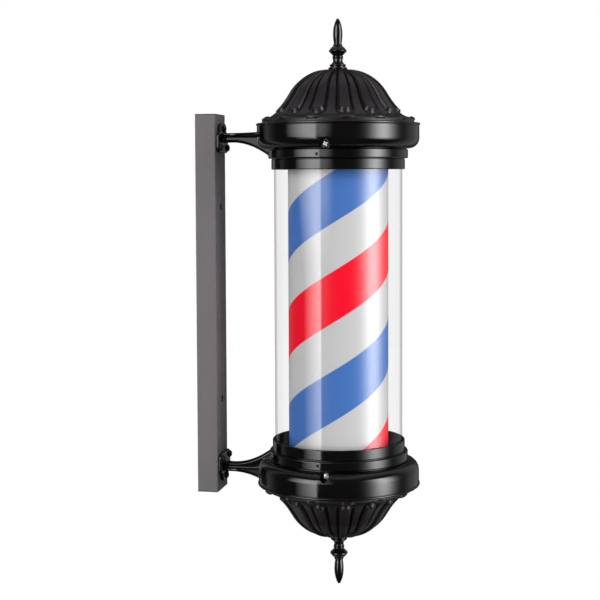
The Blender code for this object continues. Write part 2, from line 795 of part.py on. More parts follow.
def leads():
    """The motor's lead under the lower plate, and the lead up through the column to the driver."""
    below = -PLATE_BACK_Z - 7 * MM
    motor_route = [
        (AXIS_X - 48 * MM, 16 * MM, below),
        (AXIS_X - 47 * MM, 21 * MM, below - 1 * MM),
        (AXIS_X - 41 * MM, 28 * MM, below - 6 * MM),
        (AXIS_X - 26 * MM, 32 * MM, below - 10 * MM),
        (AXIS_X - 2 * MM, 34 * MM, below - 10 * MM),
        (AXIS_X + 18 * MM, 26 * MM, below - 7 * MM),
        (AXIS_X + MOTOR_OFFSET - MOTOR_R - 2 * MM, 14 * MM, below - 5 * MM),
    ]
    wire("motor_lead", "black_rubber", motor_route, 1.5 * MM)
    column_route = [
        (AXIS_X - 48 * MM, -16 * MM, below),
        (AXIS_X - 46 * MM, -21 * MM, below - 2 * MM),
        (AXIS_X - 36 * MM, -22 * MM, below - 9 * MM),
        (AXIS_X - 22 * MM, -14 * MM, below - 14 * MM),
        (AXIS_X - 6 * MM, -3 * MM, below - 14 * MM),
        (AXIS_X, 0, -COLUMN_END_Z),
        (AXIS_X, 0, -60 * MM),
        (AXIS_X, 0, 60 * MM),
        (AXIS_X, 0, COLUMN_END_Z),
        (AXIS_X + 8 * MM, 0, COLUMN_END_Z + 12 * MM),
        (AXIS_X + 18 * MM, 0, COLUMN_END_Z + 8.5 * MM),
        (AXIS_X + 25 * MM, 0, COLUMN_END_Z + 8 * MM),
    ]
    wire("column_lead", "black_rubber", column_route, 2 * MM)


# ---------------------------------------------------------------- drum and drive


def involute(angle):
    return math.tan(angle) - angle


def gear_outline(teeth, turn=0):
    """A gear whose straight flanks join the root and the tip of each involute."""
    pitch_r = teeth * GEAR_MODULE / 2
    base_r = pitch_r * math.cos(PRESSURE_ANGLE)
    root_r, tip_r = pitch_r - 1.3 * GEAR_MODULE, pitch_r + 0.95 * GEAR_MODULE
    half_at_pitch = (math.pi * GEAR_MODULE - BACKLASH) / 4 / pitch_r
    flank = []
    for radius in (root_r, tip_r):
        tilt = math.acos(min(1, base_r / radius))
        flank.append((radius, half_at_pitch + involute(PRESSURE_ANGLE) - involute(tilt)))
    points = []
    for tooth in range(teeth):
        middle = turn + 2 * math.pi * tooth / teeth
        for radius, half in [(r, -h) for r, h in flank] + list(reversed(flank)):
            points.append((radius * math.cos(middle + half), radius * math.sin(middle + half)))
    return points


def drum_disc(name, end):
    """A disc that carries one end of the sleeve, with a skirt inside it and a hub bore for its bush."""
    rim_r = DRUM_R - DRUM_WALL - GAP
    outline = [
        (rim_r, DISC_Z + DISC_SKIRT),
        (rim_r, DISC_Z - DISC_THICK),
        (BUSH_R + GAP, DISC_Z - DISC_THICK),
        (BUSH_R + GAP, DISC_Z),
        (rim_r - 2 * MM, DISC_Z),
        (rim_r - 2 * MM, DISC_Z + DISC_SKIRT),
    ]
    turned(name, "white_plastic", at_end(outline, end), parent=DRUM_PIVOT)


def drum_bush(name, end):
    outline = [
        (18 * MM, DISC_Z + GAP + 2 * MM),
        (18 * MM, DISC_Z + GAP),
        (BUSH_R, DISC_Z + GAP),
        (BUSH_R, DISC_Z - DISC_THICK - 2 * MM),
        (BORE_R, DISC_Z - DISC_THICK - 2 * MM),
        (BORE_R, DISC_Z + GAP + 2 * MM),
    ]
    turned(name, "white_plastic", at_end(outline, end), segments=16, parent=DRUM_PIVOT)


def drum():
    for end in (UPPER, LOWER):
        name = end_name(end)
        drum_disc(f"drum_disc_{name}", end)
        drum_bush(f"drum_bush_{name}", end)
    sleeve = ring(DRUM_R - DRUM_WALL, DRUM_R, -DRUM_END_Z, DRUM_END_Z)
    turned("drum_sleeve", "drum_film", sleeve, parent=DRUM_PIVOT)
    gear_at = LAMP @ Matrix.Translation((0, 0, -DISC_Z - GAP - GEAR_FACE / 2))
    outlines = [gear_outline(GEAR_TEETH), circle((0, 0), GEAR_BORE_R, 24)]
    slab("drum_gear", "white_plastic", outlines, GEAR_FACE, gear_at, DRUM_PIVOT)


def drive():
    """The gear motor under the lower plate, its shaft through the plate, and the pinion on it."""
    middle = -DISC_Z - GAP - GEAR_FACE / 2
    pinion_at = PINION_PIVOT.matrix_world @ Matrix.Translation((0, 0, middle))
    half_tooth = math.pi / PINION_TEETH
    outlines = [gear_outline(PINION_TEETH, half_tooth), circle((0, 0), SHAFT_R + GAP)]
    slab("drive_pinion", "white_plastic", outlines, GEAR_FACE, pinion_at, PINION_PIVOT)
    shaft = [(0, -DISC_Z - GAP), (SHAFT_R, -DISC_Z - GAP), (SHAFT_R, -PLATE_BACK_Z), (0, -PLATE_BACK_Z)]
    turned("motor_shaft", "plated_steel", shaft, PINION_PIVOT.matrix_world, SMALL, PINION_PIVOT)
    gear_motor()


def gear_motor():
    """A round gear motor with two lugs, screwed to the motor plate."""
    plate = bpy.data.objects["motor_plate"]
    back = -PLATE_BACK_Z - 2 * GAP
    centre = Matrix.Translation((AXIS_X + MOTOR_OFFSET, 0, back - MOTOR_DEPTH / 2))
    motor = cylinder("gear_motor", "plated_steel", MOTOR_R, MOTOR_DEPTH, centre, 24)
    lug_r, lug_thick = 6 * MM, 1.5 * MM
    right = arc((0, MOTOR_LUG_Y), lug_r, 0, 180, 5)
    left = arc((0, -MOTOR_LUG_Y), lug_r, 180, 360, 5)
    lugs_at = Matrix.Translation((AXIS_X + MOTOR_OFFSET, 0, back - lug_thick / 2 - 2 * GAP))
    join(motor, slab("motor_lugs", None, [right + left], lug_thick, lugs_at))
    for number, side in ((1, -1), (2, 1)):
        at = Matrix.Translation((AXIS_X + MOTOR_OFFSET, side * MOTOR_LUG_Y, back))
        cut(motor, cylinder(f"motor_lug_hole_{number}", None, M4_R, 10 * MM, at))
        cut(plate, cylinder(f"motor_plate_hole_{number}", None, M4_R, 10 * MM, at))
        head = Matrix.Translation((0, 0, -lug_thick - 3 * GAP)) @ Matrix.Rotation(math.pi, 4, "X")
        outline = screw_outline(3.2 * MM, 2 * MM, 1.5 * MM, 6 * MM)
        turned(f"motor_screw_{number}", "plated_steel", outline, at @ head, SMALL)
    shaft_at = Matrix.Translation((AXIS_X + GEAR_DISTANCE, 0, -PLATE_Z))
    cut(plate, cylinder("shaft_hole", None, SHAFT_R + 1.5 * MM, 10 * MM, shaft_at))


def pivot(name, x):
    """An empty on a turning axis."""
    empty = bpy.data.objects.new(name, None)
    empty.matrix_world = Matrix.Translation((x, 0, 0))
    PARTS.objects.link(empty)
    return empty


clear_scene()
PARTS = collection("barber_pole_light")
CUTTERS = collection("cutters")
DRUM_PIVOT = pivot("drum_pivot", AXIS_X)
PINION_PIVOT = pivot("pinion_pivot", AXIS_X + GEAR_DISTANCE)
bpy.context.view_layer.update()

wall_rail()
glass_tube()
carrier_plate("lamp_plate", UPPER)
carrier_plate("motor_plate", LOWER)
light_column()
led_strips()
driver_and_terminals()
leads()
drum()
drive()
for each_end in (UPPER, LOWER):
    arm(each_end)
    collar(each_end)
    dome(each_end)
    finial(each_end)
    strap(each_end)
    dome_bolt(each_end)
    column_clamp(each_end)
bpy.context.view_layer.update()
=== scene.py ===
"""The looks of the barber pole light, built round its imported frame.

Outlines are in millimetres as (radius or across, height), with a corner radius where a corner is
rounded. The upper and lower ends are the same pieces turned over, as they are in the frame.
"""

import json
import math

import bmesh
import bpy
from mathutils import Matrix, Vector


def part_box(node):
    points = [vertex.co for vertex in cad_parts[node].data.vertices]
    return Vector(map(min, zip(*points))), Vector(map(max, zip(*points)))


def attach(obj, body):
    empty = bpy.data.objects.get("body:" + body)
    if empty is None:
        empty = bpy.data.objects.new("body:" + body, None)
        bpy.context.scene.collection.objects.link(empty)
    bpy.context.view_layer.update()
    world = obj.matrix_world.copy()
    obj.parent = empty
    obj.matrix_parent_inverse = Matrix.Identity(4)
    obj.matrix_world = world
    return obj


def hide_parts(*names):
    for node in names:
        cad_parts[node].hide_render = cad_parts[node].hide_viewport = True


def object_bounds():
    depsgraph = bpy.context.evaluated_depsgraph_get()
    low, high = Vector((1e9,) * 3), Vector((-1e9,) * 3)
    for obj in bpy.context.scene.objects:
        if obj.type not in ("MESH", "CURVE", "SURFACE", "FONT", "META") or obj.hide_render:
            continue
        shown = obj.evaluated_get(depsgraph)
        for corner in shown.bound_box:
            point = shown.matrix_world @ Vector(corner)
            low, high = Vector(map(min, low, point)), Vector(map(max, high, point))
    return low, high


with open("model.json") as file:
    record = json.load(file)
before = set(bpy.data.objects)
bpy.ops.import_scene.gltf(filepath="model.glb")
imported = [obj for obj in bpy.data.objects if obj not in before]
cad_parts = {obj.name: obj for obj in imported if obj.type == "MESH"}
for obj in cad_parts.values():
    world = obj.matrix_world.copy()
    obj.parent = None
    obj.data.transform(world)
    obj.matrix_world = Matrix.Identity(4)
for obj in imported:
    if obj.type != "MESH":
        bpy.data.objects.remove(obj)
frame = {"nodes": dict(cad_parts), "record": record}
CAD_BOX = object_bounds()
MM = 0.001


def span(node):
    """A node's lowest and highest corners, in millimetres."""
    low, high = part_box(node)
    return low / MM, high / MM


# Driving sizes, read from the frame
TUBE_LOW, TUBE_HIGH = span("glass_tube")
AXIS = (TUBE_LOW.x + TUBE_HIGH.x) / 2
TUBE_R = TUBE_HIGH.x - AXIS
TUBE_END = TUBE_HIGH.z
TUBE_WALL = 3
TUBE_SEGMENTS = 180
DRUM_R = span("drum_sleeve")[1].x - AXIS
DRUM_END = span("drum_sleeve")[1].z
DRUM_WALL = 1.2
RIM_Z = span("upper_collar")[0].z
TOP_Z = span("upper_collar")[1].z
LIP_R = span("upper_collar")[1].x - AXIS
DOME_FOOT_Z = span("upper_dome")[0].z
CROWN_Z = span("upper_dome")[1].z
FINIAL_FOOT_Z = span("upper_finial")[0].z
RAIL_HIGH = span("wall_rail")[1]
FLANGE_LOW, ARM_HIGH = span("upper_arm")
SCREW_HEAD_R = (span("upper_arm_screw_1")[1].y - span("upper_arm_screw_1")[0].y) / 2
GAP = 0.3
M4_HOLE_R = 2.3
FINIAL_HOLE_R = 3.3
FINIAL_HOLE_DEPTH = 12
FINIAL_SEGMENTS = 64
SCREW_SEGMENTS = 40
SMALL_SEGMENTS = 24
ARM_HOLE_SEGMENTS = 20
PAST = 4  # how far a drill runs past the faces it cuts

# Collar steps, measured from the sizes above
RING_R = LIP_R - 1
RING_BOTTOM = RIM_Z + 25.8
RING_CORNER = 12.5
MIDDLE_R = TUBE_R + 6.9
MIDDLE_BOTTOM = RIM_Z + 13.6
RIM_R = TUBE_R + 3.1
SHOULDER = TUBE_END + 3
SEAT_R = 96.4
SEAT_Z = TOP_Z - 4.2
CAVITY_R = 90
CAVITY_Z = SEAT_Z - 15.4
POCKET_FLOOR = 88
POCKET_R = 6.3
PLATE_HOLE_SPAN = (TUBE_R - 2, POCKET_FLOOR + 1)
INSIDE_R = CAVITY_R - 6
CABLE_HOLE_R = 5

# Dome: raised petals with channels between them. Rises are shares of PETAL_DEPTH, and slopes and the
# moat are shares of a petal's half width.
PETALS = 14
PETAL_TURN = math.radians(3.2)
PETAL_DEPTH = 4.6
PETAL_HALF = 8.5
PETAL_SLOPE = 0.28
NOSE_SLOPE = 0.42
PETAL_CROWN = 0.08
MOAT = 0.08
CHANNEL_RISE = 0.6
CHANNEL_SLOPE = 0.42
CHANNEL_NOSE_SLOPE = 0.3
NOSE_TO_RIM = 25.0
LEDGE_RISE = 0.9
LEDGE_TO_RIM = 12
LEDGE_SLOPE = 8
BUTTON_HALF = 4.0
BUTTON_WIDTH = 0.95
BUTTON_TO_RIM = 2.6
BUTTON_RISE = 0.5
BUTTON_SLOPE = 0.6
CROWN_FLAT = 12
COLUMNS_IN_PETAL = 36
DOME_ROWS = 104
INNER_ROW_STEP = 6
CURVE_STEPS = 60
DOME_WALL = 2.5
DOME_FOOT = 6
DOME_FOOT_WALL = 3
DOME_FOOT_INSET = 0.6
DOME_INSIDE_R = 6
DOME_SHOULDER = ((12, CROWN_Z), (36, CROWN_Z + 0.6), (52.9, CROWN_Z - 15.3), (60, CROWN_Z - 27.3))
DOME_FLARE = (DOME_SHOULDER[3], (69.5, CROWN_Z - 43), (76.3, CROWN_Z - 52.2), (95, CROWN_Z - 61.5))

# Rail: a box tube with two wall screw holes and end caps
RAIL_WALL = 2
RAIL_CORNER = 1.6
WALL_HOLE_Z = 122.5
WALL_HOLE_R = 2.75
ACCESS_HOLE_R = 4.75
CAP_THICK = 1.2
CAP_DEPTH = 8
CAP_INSET = 2.4
CAP_EDGE = 0.45
PLUG_EDGE = 0.5

# Arm, measured out from its flange's back face and up from its flange's foot. The web and the plate
# start inside the shield by ARM_LAP and run on into the collar's room.
ARM_LAP = 1
SHIELD_THICK = 4.5
SHIELD_EDGE = 1.2
WEB_THICK = 8
WEB_EDGE = 2.7
WEB_ROOT_Z = 17
WEB_TOP_Z = 28.1
WEB_START = 15.7
WEB_RUN = 46.5
WEB_END = 70
WEB_Z = 17.6
WEB_DROP = 17
PLATE_THICK = 4
PLATE_EDGE = 1.4
PLATE_Z = 29.6
PLATE_HALF = 7
PLATE_END = 72
FLARE_START = 13.7
FLARE_RUN = 41
FLARE_WIDTH = 33
FLARE_POWER = 1.8
ARM_STEPS = 16
ARM_BOLT_SPAN = (80, 118)
FILLET_GRID = 0.8

# Screws. A cross recess is in shares of its head's radius or height.
SCREW_EDGE = 0.3
M4_R = 2
ARM_SCREW_HEAD = 3
PLATE_SCREW_R = 4.3
PLATE_SCREW_HEAD = 2.6
PLATE_SCREW_LENGTH = 7.5
CROSS_TURN = 0.5
CROSS_REACH = 0.72
CROSS_WIDTH = 0.26
CROSS_DEPTH = 0.5
CROSS_CENTRE = 0.3
CROSS_FLOOR = -0.6
GRUB_R = 1.6
GRUB_DEPTH = 2
GRUB_SOCKET_R = 0.95
GRUB_SOCKET_DEPTH = 1.8

# Stripes: one lead of the helix holds a blue and a red band with white between them. The red band's
# middle passes RED_HEIGHT at STRIPE_TURN, and the film's seam is on the other side.
STRIPE_LEAD = 241.6
STRIPE_HALF = 31.2
STRIPE_BLUR = 0.15
STRIPE_RAGGED = 0.25
RED_HEIGHT = 18.2
STRIPE_TURN = math.radians(-81)

# Light strips: how far the faces of their blocks are from the axis
LED_FACE_R = 14.7

# Tube: its two faces mirror twice the share of one, damped where the view grazes them
MIRROR_FACES = 2.0
MIRROR_DAMPING = 6.0

# Most values of a noise lie between these
NOISE_LOW = 0.3
NOISE_HIGH = 0.7

# Camera
VIEW_TURN = math.radians(11.2)
VIEW_DISTANCE = 1.75
VIEW_SIDE = 0.0479
CAMERA_TURN = VIEW_TURN - math.atan(VIEW_SIDE / VIEW_DISTANCE)
VIEW_HEIGHT = 0.1632
VIEW_LENS = 84.08
VIEW_TILT = math.radians(3.6)
VIEW_ROLL = math.radians(-0.236)
VIEW_SHIFT = -0.0627

# Studio lights, in degrees of turn from the camera's side and of rise above level. A pair of angles is
# where a light starts and where it is full, and OVERHEAD_LIGHT is how bright it is there.
PANEL_EDGE = -33.0
PANEL_CREST = -47.0
PANEL_WIDTH = 31.0
PANEL_SOFTNESS = 4
PANEL_LIGHT = 6.6
CREST_RISE = (-5.0, 0.0)
FILL_TURN = (-5.0, -26.0)
FILL_RISE = (-4.0, 0.0)
FILL_SOFTNESS = 3
FILL_LIGHT = 2.2
STRIP_TURN = 65.5
STRIP_SPREAD = 16.5
STRIP_LIGHT = 10.0
LAMPS_FOOT = (-30.0, -2.0)
LAMPS_HEAD = (38.0, 26.0)
OVERHEAD_RISE = (42.0, 70.0)
OVERHEAD_LIGHT = (0.05, 0.48)
BEHIND_NEAR = (95.0, 125.0)
BEHIND_FAR = (165.0, 145.0)
BEHIND_LIGHT = 0.30
LIGHT_TINT = (0.9925, 0.985, 0.9925, 1)
FLOOR_DROP = 0.45
FLOOR_SIZE = 12

ENDS = (("upper", 1), ("lower", -1))
FINE = 144
SHARP = math.radians(32)
LAMP = Matrix.Translation((AXIS * MM, 0, 0))
IN_PLACE = Matrix.Identity(4)
SIDEWAYS = Matrix.Rotation(math.pi / 2, 4, "Y")
UPRIGHT = Matrix(((0, 0, 1, 0), (1, 0, 0, 0), (0, 1, 0, 0), (0, 0, 0, 1)))
ON_EDGE = Matrix(((1, 0, 0, 0), (0, 0, -1, 0), (0, 1, 0, 0), (0, 0, 0, 1)))


# ---------------------------------------------------------------- node materials


def put(tree, kind, inputs=None, **settings):
    """A node with its settings, and its inputs linked from sockets or set to values."""
    node = tree.nodes.new(kind)
    for key, value in settings.items():
        setattr(node, key, value)
    for key, value in (inputs or {}).items():
        if isinstance(value, bpy.types.NodeSocket):
            tree.links.new(value, node.inputs[key])
        else:
            node.inputs[key].default_value = value
    return node


def maths(tree, operation, *values):
    """One sum on sockets or numbers."""
    return put(tree, "ShaderNodeMath", dict(enumerate(values)), operation=operation).outputs[0]


def between(tree, value, start, stop, low=0.0, high=1.0, smooth=True):
    """Runs from low to high as value goes from start to stop."""
    inputs = {"Value": value, 1: start, 2: stop, 3: low, 4: high}
    kind = "SMOOTHSTEP" if smooth else "LINEAR"
    return put(tree, "ShaderNodeMapRange", inputs, interpolation_type=kind).outputs[0]


def mixed(tree, share, first, second):
    """A mix of two colours."""
    node = put(tree, "ShaderNodeMix", data_type="RGBA")
    for socket, value in zip((node.inputs[0], node.inputs[6], node.inputs[7]), (share, first, second)):
        if isinstance(value, bpy.types.NodeSocket):
            tree.links.new(value, socket)
        else:
            socket.default_value = value if isinstance(value, float) else (*value, 1)
    return node.outputs[2]


def place_in(tree, stretch=(1, 1, 1)):
    """Object coordinates in metres, stretched along each axis."""
    coordinates = put(tree, "ShaderNodeTexCoord").outputs["Object"]
    inputs = {"Vector": coordinates, "Scale": stretch}
    return put(tree, "ShaderNodeMapping", inputs).outputs[0]


def grain(tree, size_mm, detail=3, stretch=(1, 1, 1)):
    """Noise whose features are about size_mm across."""
    inputs = {"Vector": place_in(tree, stretch), "Scale": 1 / (size_mm * MM), "Detail": detail}
    return put(tree, "ShaderNodeTexNoise", inputs).outputs[0]


def drifting(tree, noise, low, high):
    """Runs between low and high as a noise wanders."""
    return between(tree, noise, NOISE_LOW, NOISE_HIGH, low, high)


def radius_of(tree, vector):
    """A socket for how far a vector is from the Z axis."""
    parts = put(tree, "ShaderNodeSeparateXYZ", {0: vector}).outputs
    squares = [maths(tree, "MULTIPLY", parts[k], parts[k]) for k in (0, 1)]
    return maths(tree, "SQRT", maths(tree, "ADD", *squares))


def bumped(tree, *layers):
    """A normal from layers of (height, depth in mm), one on the other."""
    normal = None
    for height, depth in layers:
        inputs = {"Height": height, "Distance": depth * MM, "Strength": 1.0}
        if normal:
            inputs["Normal"] = normal
        normal = put(tree, "ShaderNodeBump", inputs).outputs[0]
    return normal


def edge_wear(tree):
    """Near 1 on sharp outer edges, broken up by noise."""
    sharp = put(tree, "ShaderNodeNewGeometry").outputs["Pointiness"]
    edge = between(tree, sharp, 0.54, 0.64)
    return maths(tree, "MULTIPLY", edge, between(tree, grain(tree, 4), 0.42, 0.62))


def principled(tree, **values):
    """A Principled shader; an underscore in a name stands for the space in its input's name."""
    inputs = {key.replace("_", " "): value for key, value in values.items()}
    return put(tree, "ShaderNodeBsdfPrincipled", inputs).outputs[0]


def look(build):
    """A material named for a function that builds its shader."""
    material = bpy.data.materials.new(build.__name__)
    material.use_nodes = True
    tree = material.node_tree
    tree.nodes.clear()
    put(tree, "ShaderNodeOutputMaterial", {"Surface": build(tree)})
    return material


def gloss_black(tree):
    """Enamel on a casting: long soft waves, fine orange peel, and thinner paint on the edges."""
    tone = mixed(tree, grain(tree, 18), (0.0018, 0.0015, 0.0018), (0.0042, 0.0036, 0.0042))
    worn = mixed(tree, edge_wear(tree), tone, (0.03, 0.028, 0.028))
    rough = drifting(tree, grain(tree, 9), 0.06, 0.11)
    normal = bumped(tree, (grain(tree, 22, 2), 0.05), (grain(tree, 1.1, 2), 0.003))
    return principled(tree, Base_Color=worn, Roughness=rough, Normal=normal, IOR=1.5)


def dome_black(tree):
    """The same enamel on the rougher fluted casting."""
    tone = mixed(tree, grain(tree, 14), (0.010, 0.008, 0.010), (0.016, 0.013, 0.015))
    worn = mixed(tree, edge_wear(tree), tone, (0.04, 0.036, 0.039))
    rough = drifting(tree, grain(tree, 7), 0.30, 0.38)
    normal = bumped(tree, (grain(tree, 12, 2), 0.05), (grain(tree, 1.0, 2), 0.006))
    return principled(tree, Base_Color=worn, Roughness=rough, Normal=normal, IOR=1.35)


def satin_black(tree):
    """Powder coat: a fine even pebble over steel."""
    tone = mixed(tree, grain(tree, 30), (0.148, 0.138, 0.144), (0.164, 0.154, 0.160))
    worn = mixed(tree, edge_wear(tree), tone, (0.17, 0.16, 0.165))
    rough = drifting(tree, grain(tree, 6), 0.44, 0.54)
    normal = bumped(tree, (grain(tree, 0.7, 3), 0.02))
    return principled(tree, Base_Color=worn, Roughness=rough, Normal=normal, IOR=1.3)


def black_screw(tree):
    """Oxide-blacked steel, rubbed brighter at its edges."""
    tone = mixed(tree, grain(tree, 2), (0.012, 0.012, 0.013), (0.030, 0.029, 0.029))
    worn = mixed(tree, edge_wear(tree), tone, (0.16, 0.15, 0.14))
    rough = drifting(tree, grain(tree, 1.5), 0.2, 0.34)
    normal = bumped(tree, (grain(tree, 0.5, 2), 0.006))
    return principled(tree, Base_Color=worn, Roughness=rough, Normal=normal, Metallic=0.4)


def plated_steel(tree):
    """Zinc plate with a faint yellow passivation and drawing lines."""
    tone = mixed(tree, grain(tree, 5), (0.72, 0.69, 0.62), (0.80, 0.79, 0.77))
    dull = mixed(tree, between(tree, grain(tree, 14), 0.5, 0.7), tone, (0.55, 0.53, 0.47))
    rough = drifting(tree, grain(tree, 3), 0.12, 0.24)
    normal = bumped(tree, (grain(tree, 0.6, 2, (1, 1, 0.1)), 0.004))
    return principled(tree, Base_Color=dull, Roughness=rough, Normal=normal, Metallic=1.0)


def aluminium(tree):
    """Drawn tube with fine lines along it and dull oxide patches."""
    tone = mixed(tree, grain(tree, 8), (0.76, 0.77, 0.78), (0.86, 0.86, 0.87))
    lines = grain(tree, 0.5, 2, (1, 1, 0.02))
    rough = drifting(tree, lines, 0.28, 0.42)
    normal = bumped(tree, (lines, 0.01))
    return principled(tree, Base_Color=tone, Roughness=rough, Normal=normal, Metallic=1.0)


def white_plastic(tree):
    """Moulded plastic with a fine spark finish."""
    tone = mixed(tree, grain(tree, 20), (0.76, 0.76, 0.73), (0.83, 0.83, 0.81))
    worn = mixed(tree, edge_wear(tree), tone, (0.88, 0.88, 0.87))
    rough = drifting(tree, grain(tree, 4), 0.38, 0.5)
    normal = bumped(tree, (grain(tree, 0.6, 2), 0.01))
    return principled(tree, Base_Color=worn, Roughness=rough, Normal=normal)


def black_rubber(tree):
    """Moulded rubber: matt, with a fine open grain."""
    tone = mixed(tree, grain(tree, 3), (0.018, 0.018, 0.018), (0.040, 0.039, 0.038))
    rough = drifting(tree, grain(tree, 2), 0.65, 0.85)
    normal = bumped(tree, (grain(tree, 0.5, 3), 0.03))
    return principled(tree, Base_Color=tone, Roughness=rough, Normal=normal)


def led_strip(tree):
    """A white board whose light-emitting blocks, the part furthest from the axis, are yellow."""
    position = put(tree, "ShaderNodeNewGeometry").outputs["Position"]
    axis = put(tree, "ShaderNodeCombineXYZ", {"X": AXIS * MM})
    from_axis = put(tree, "ShaderNodeVectorMath", {0: position, 1: axis.outputs[0]}, operation="SUBTRACT")
    radius = radius_of(tree, from_axis.outputs[0])
    block = between(tree, radius, (LED_FACE_R - 0.1) * MM, (LED_FACE_R + 0.1) * MM)
    board = mixed(tree, grain(tree, 6), (0.82, 0.82, 0.80), (0.90, 0.90, 0.88))
    tone = mixed(tree, block, board, (0.90, 0.74, 0.22))
    rough = drifting(tree, grain(tree, 2), 0.3, 0.5)
    normal = bumped(tree, (grain(tree, 0.8), 0.01))
    return principled(tree, Base_Color=tone, Roughness=rough, Normal=normal)


def drum_film(tree):
    """White film printed with a blue and a red band that climb round the drum, and a lapped seam."""
    parts = put(tree, "ShaderNodeSeparateXYZ", {0: place_in(tree)}).outputs
    turn = maths(tree, "ARCTAN2", parts[1], parts[0])
    turned = maths(tree, "DIVIDE", maths(tree, "SUBTRACT", turn, STRIPE_TURN), 2 * math.pi)
    wander = maths(tree, "SUBTRACT", grain(tree, 1.5, 4), 0.5)
    ragged = maths(tree, "MULTIPLY", wander, STRIPE_RAGGED * MM)
    height = maths(tree, "ADD", maths(tree, "SUBTRACT", parts[2], RED_HEIGHT * MM), ragged)
    climbed = maths(tree, "SUBTRACT", maths(tree, "DIVIDE", height, STRIPE_LEAD * MM), turned)
    phase = maths(tree, "ABSOLUTE", maths(tree, "SUBTRACT", maths(tree, "FRACT", climbed), 0.5))
    half, soft = STRIPE_HALF / STRIPE_LEAD, STRIPE_BLUR / STRIPE_LEAD
    blue = between(tree, phase, half + soft, half - soft)
    red = between(tree, phase, 0.5 - half - soft, 0.5 - half + soft)
    paper = mixed(tree, grain(tree, 40), (0.56, 0.56, 0.56), (0.59, 0.59, 0.588))
    blues = mixed(tree, grain(tree, 0.5, 2), (0.055, 0.160, 0.470), (0.065, 0.180, 0.510))
    reds = mixed(tree, grain(tree, 0.5, 2), (0.930, 0.001, 0.018), (0.970, 0.003, 0.026))
    printed = mixed(tree, red, mixed(tree, blue, paper, blues), reds)
    seam_turn = maths(tree, "ABSOLUTE", maths(tree, "SUBTRACT", turn, STRIPE_TURN + math.pi))
    seam = between(tree, seam_turn, 0.010, 0.004)
    tone = mixed(tree, maths(tree, "MULTIPLY", seam, 0.35), printed, (0.25, 0.25, 0.25))
    rough = drifting(tree, grain(tree, 5), 0.30, 0.38)
    normal = bumped(tree, (grain(tree, 30, 2), 0.03), (seam, 0.1))
    return principled(tree, Base_Color=tone, Roughness=rough, Normal=normal, IOR=1.3)


def clear_tube(tree):
    """Clear tube: its outer face mirrors more at a glancing angle, and painted shade greys its see-through
    colour at the tube's edges, where the view grazes it.
    """
    glance = put(tree, "ShaderNodeLayerWeight", {"Blend": 0.5}).outputs["Facing"]
    radius = radius_of(tree, place_in(tree))
    outer = between(tree, radius, (TUBE_R - TUBE_WALL / 2) * MM, TUBE_R * MM)
    # Painted shade: the see-through colour turns grey where the view grazes the outer face, near the tube's
    # edges.
    edge = maths(tree, "MULTIPLY", between(tree, glance, 0.68, 0.77), outer)
    edge_shade_tint = mixed(tree, edge, (0.990, 0.991, 0.992), (0.81, 0.79, 0.79))
    dust = between(tree, grain(tree, 1.2, 5), 0.60, 0.75, 0.0, 0.04)
    clear = put(tree, "ShaderNodeBsdfTransparent", {"Color": edge_shade_tint}).outputs[0]
    haze = put(tree, "ShaderNodeBsdfDiffuse", {"Color": (0.8, 0.8, 0.8, 1)}).outputs[0]
    body = put(tree, "ShaderNodeMixShader", {0: dust, 1: clear, 2: haze}).outputs[0]
    normal = bumped(tree, (grain(tree, 45, 1), 0.02))
    rough = drifting(tree, grain(tree, 12), 0.015, 0.03)
    mirror = put(tree, "ShaderNodeBsdfGlossy", {"Roughness": rough, "Normal": normal}).outputs[0]
    mirrored = put(tree, "ShaderNodeFresnel", {"IOR": 1.49, "Normal": normal}).outputs[0]
    outside = maths(tree, "SUBTRACT", 1.0, put(tree, "ShaderNodeNewGeometry").outputs["Backfacing"])
    damped = maths(tree, "ADD", maths(tree, "MULTIPLY", mirrored, MIRROR_DAMPING), 1.0)
    both_faces = maths(tree, "DIVIDE", maths(tree, "MULTIPLY", mirrored, MIRROR_FACES), damped)
    share = maths(tree, "MULTIPLY", maths(tree, "MULTIPLY", both_faces, outside), outer)
    return put(tree, "ShaderNodeMixShader", {0: share, 1: body, 2: mirror}).outputs[0]


LOOK_BUILDERS = (
    gloss_black,
    dome_black,
    satin_black,
    black_screw,
    plated_steel,
    aluminium,
    white_plastic,
    black_rubber,
    led_strip,
    drum_film,
    clear_tube,
)
LOOKS = {build.__name__: look(build) for build in LOOK_BUILDERS}


# ---------------------------------------------------------------- shapes


def rounded(corners, steps=5):
    """Points of an outline of (x, y, corner radius), each corner rounded with an arc."""
    points = []
    for number, (x, y, radius) in enumerate(corners):
        if radius == 0:
            points.append((x, y))
            continue
        here = Vector((x, y))
        before = (Vector(corners[number - 1][:2]) - here).normalized()
        after = (Vector(corners[(number + 1) % len(corners)][:2]) - here).normalized()
        half = before.angle(after) / 2
        centre = here + (before + after).normalized() * radius / math.sin(half)
        arm = here + before * radius / math.tan(half) - centre
        end = here + after * radius / math.tan(half) - centre
        sweep = -arm.angle_signed(end)
        for step in range(steps + 1):
            points.append(tuple(centre + Matrix.Rotation(sweep * step / steps, 2) @ arm))
    return points


def smooth(points, steps=5):
    """A curve through points, by Catmull-Rom; a point given twice stays a corner."""
    padded = [points[0], *points, points[-1]]
    curve = []
    for a, b, c, d in zip(padded, padded[1:], padded[2:], padded[3:]):
        for step in range(steps):
            t = step / steps
            weights = (
                (-t + 2 * t**2 - t**3) / 2,
                (2 - 5 * t**2 + 3 * t**3) / 2,
                (t + 4 * t**2 - 3 * t**3) / 2,
                (-(t**2) + t**3) / 2,
            )
            curve.append(tuple(sum(w * p[k] for w, p in zip(weights, (a, b, c, d))) for k in (0, 1)))
    return [*dict.fromkeys(curve), points[-1]]


